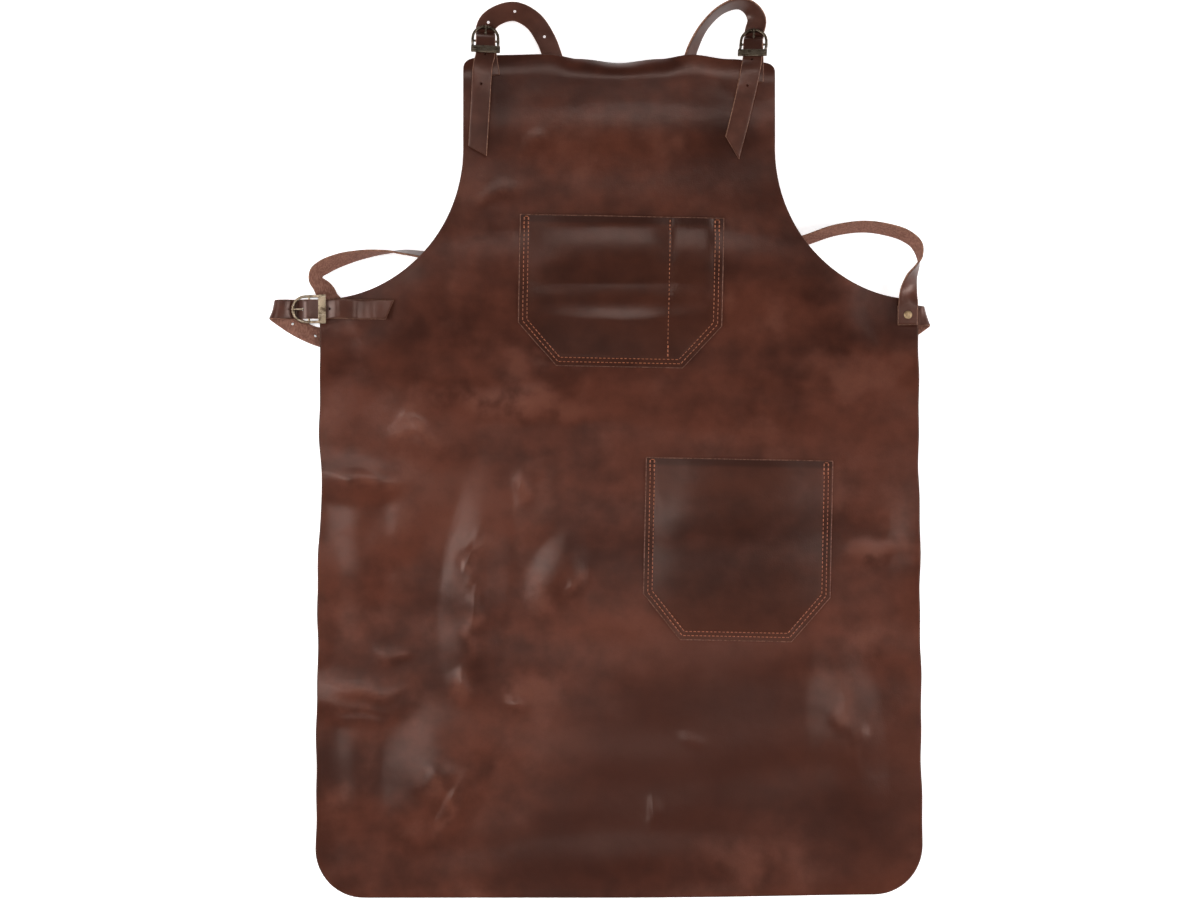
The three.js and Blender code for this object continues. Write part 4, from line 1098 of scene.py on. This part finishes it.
for name, fitting in FITTINGS.items():
    # the bib buckles' frames and prongs get the darker copy of the brass, which is painted shade
    metal = "aged_brass" if name == "waist" else "brass_painted_shade"
    add_piece(f"frame_{name}", fitting.placed(buckle_frame()), "aged_brass", f"buckle_frame_{name}", metal)
    add_piece(f"prong_{name}", fitting.placed(buckle_prong()), "aged_brass", f"buckle_prong_{name}", metal)
    route = fitting.tab_route()
    bend = route.nearest(fitting.world([(-3, 0, 0)])[0])
    spec = RIVETS["waist_left" if name == "waist" else name]
    holes = [(bend, *TAB.prong_slot, SLOT)]
    for height in (-TAB_LAYER + TAB.thickness / 2, PANEL.thickness + TAB_LAYER - TAB.thickness / 2):
        riveted = route.nearest(on_panel(spec.x, spec.s, height)[0])
        holes.append((riveted, TAB.rivet_hole, TAB.rivet_hole, ROUND))
    add_piece(f"tab_{name}", strip_of_leather(route, TAB, holes), "strap_leather", f"buckle_tab_{name}")

for name, spec in RIVETS.items():
    add_piece(f"stud_{name}", rivet(spec), "aged_brass", f"rivet_{name}", "satin_brass")


def add_floor():
    """A pale floor just under the apron."""
    finish = Finish("floor")
    cloud = finish.noise(3.0, 2.0)
    colour = finish.blend(finish.between(cloud, 0.3, 0.7), srgb(246, 246, 247), srgb(249, 249, 250))
    mesh = bpy.data.meshes.new("floor")
    half, under = 6.0, -0.0003
    corners = [(-half, -half, under), (half, -half, under), (half, half, under), (-half, half, under)]
    mesh.from_pydata(corners, [], [(0, 1, 2, 3)])
    mesh.materials.append(finish.surface({
        "Base Color": colour, "Roughness": 0.9, "Emission Color": (1, 1, 1, 1), "Emission Strength": 0.65}))
    add_object("floor", mesh)


def add_softbox(name, place, size, power, aim=(0.0, 0.12, 0.0), spread=180):
    """A rectangular lamp at a place in metres that faces a point, its light spread over degrees."""
    lamp = bpy.data.lights.new(name, "AREA")
    lamp.shape = "RECTANGLE"
    lamp.size, lamp.size_y = size
    lamp.energy = power
    lamp.spread = np.radians(spread)
    light = add_object(name, lamp)
    light.location = place
    light.rotation_euler = (Vector(aim) - Vector(place)).to_track_quat("-Z", "Y").to_euler()
    light.visible_camera = False


def add_camera():
    """A camera straight above the middle of the view, far enough for 1.2 m to fill the frame's width."""
    data = bpy.data.cameras.new("camera")
    data.sensor_width = 36
    data.lens = 150
    camera = add_object("camera", data)
    camera.location = (-0.019, 0.150, 5.0)
    bpy.context.scene.camera = camera


add_floor()
add_softbox("lamp_left", (-3.2, 0.15, 1.5), (0.9, 2.2), 82)
add_softbox("lamp_right", (3.2, 0.15, 1.5), (0.9, 2.2), 82)
add_softbox("lamp_side_left", (-1.25, 0.4, 3.1), (0.35, 1.3), 0.42, (-0.3, 0.0, 0.0), 17)
add_softbox("lamp_side_right", (1.3, 0.3, 3.1), (0.3, 1.0), 0.12, (0.28, -0.04, 0.0), 14)
add_softbox("lamp_top", (0.0, 1.75, 3.4), (3.0, 0.5), 34)
add_softbox("lamp_foot", (0.0, -2.6, 1.9), (2.0, 0.9), 31)
world = bpy.data.worlds.new("studio")
world.use_nodes = True
background = world.node_tree.nodes["Background"].inputs
background["Color"].default_value = (1, 1, 1, 1)
background["Strength"].default_value = 0.12
bpy.context.scene.world = world
bpy.context.scene.view_settings.view_transform = "Standard"
add_camera()
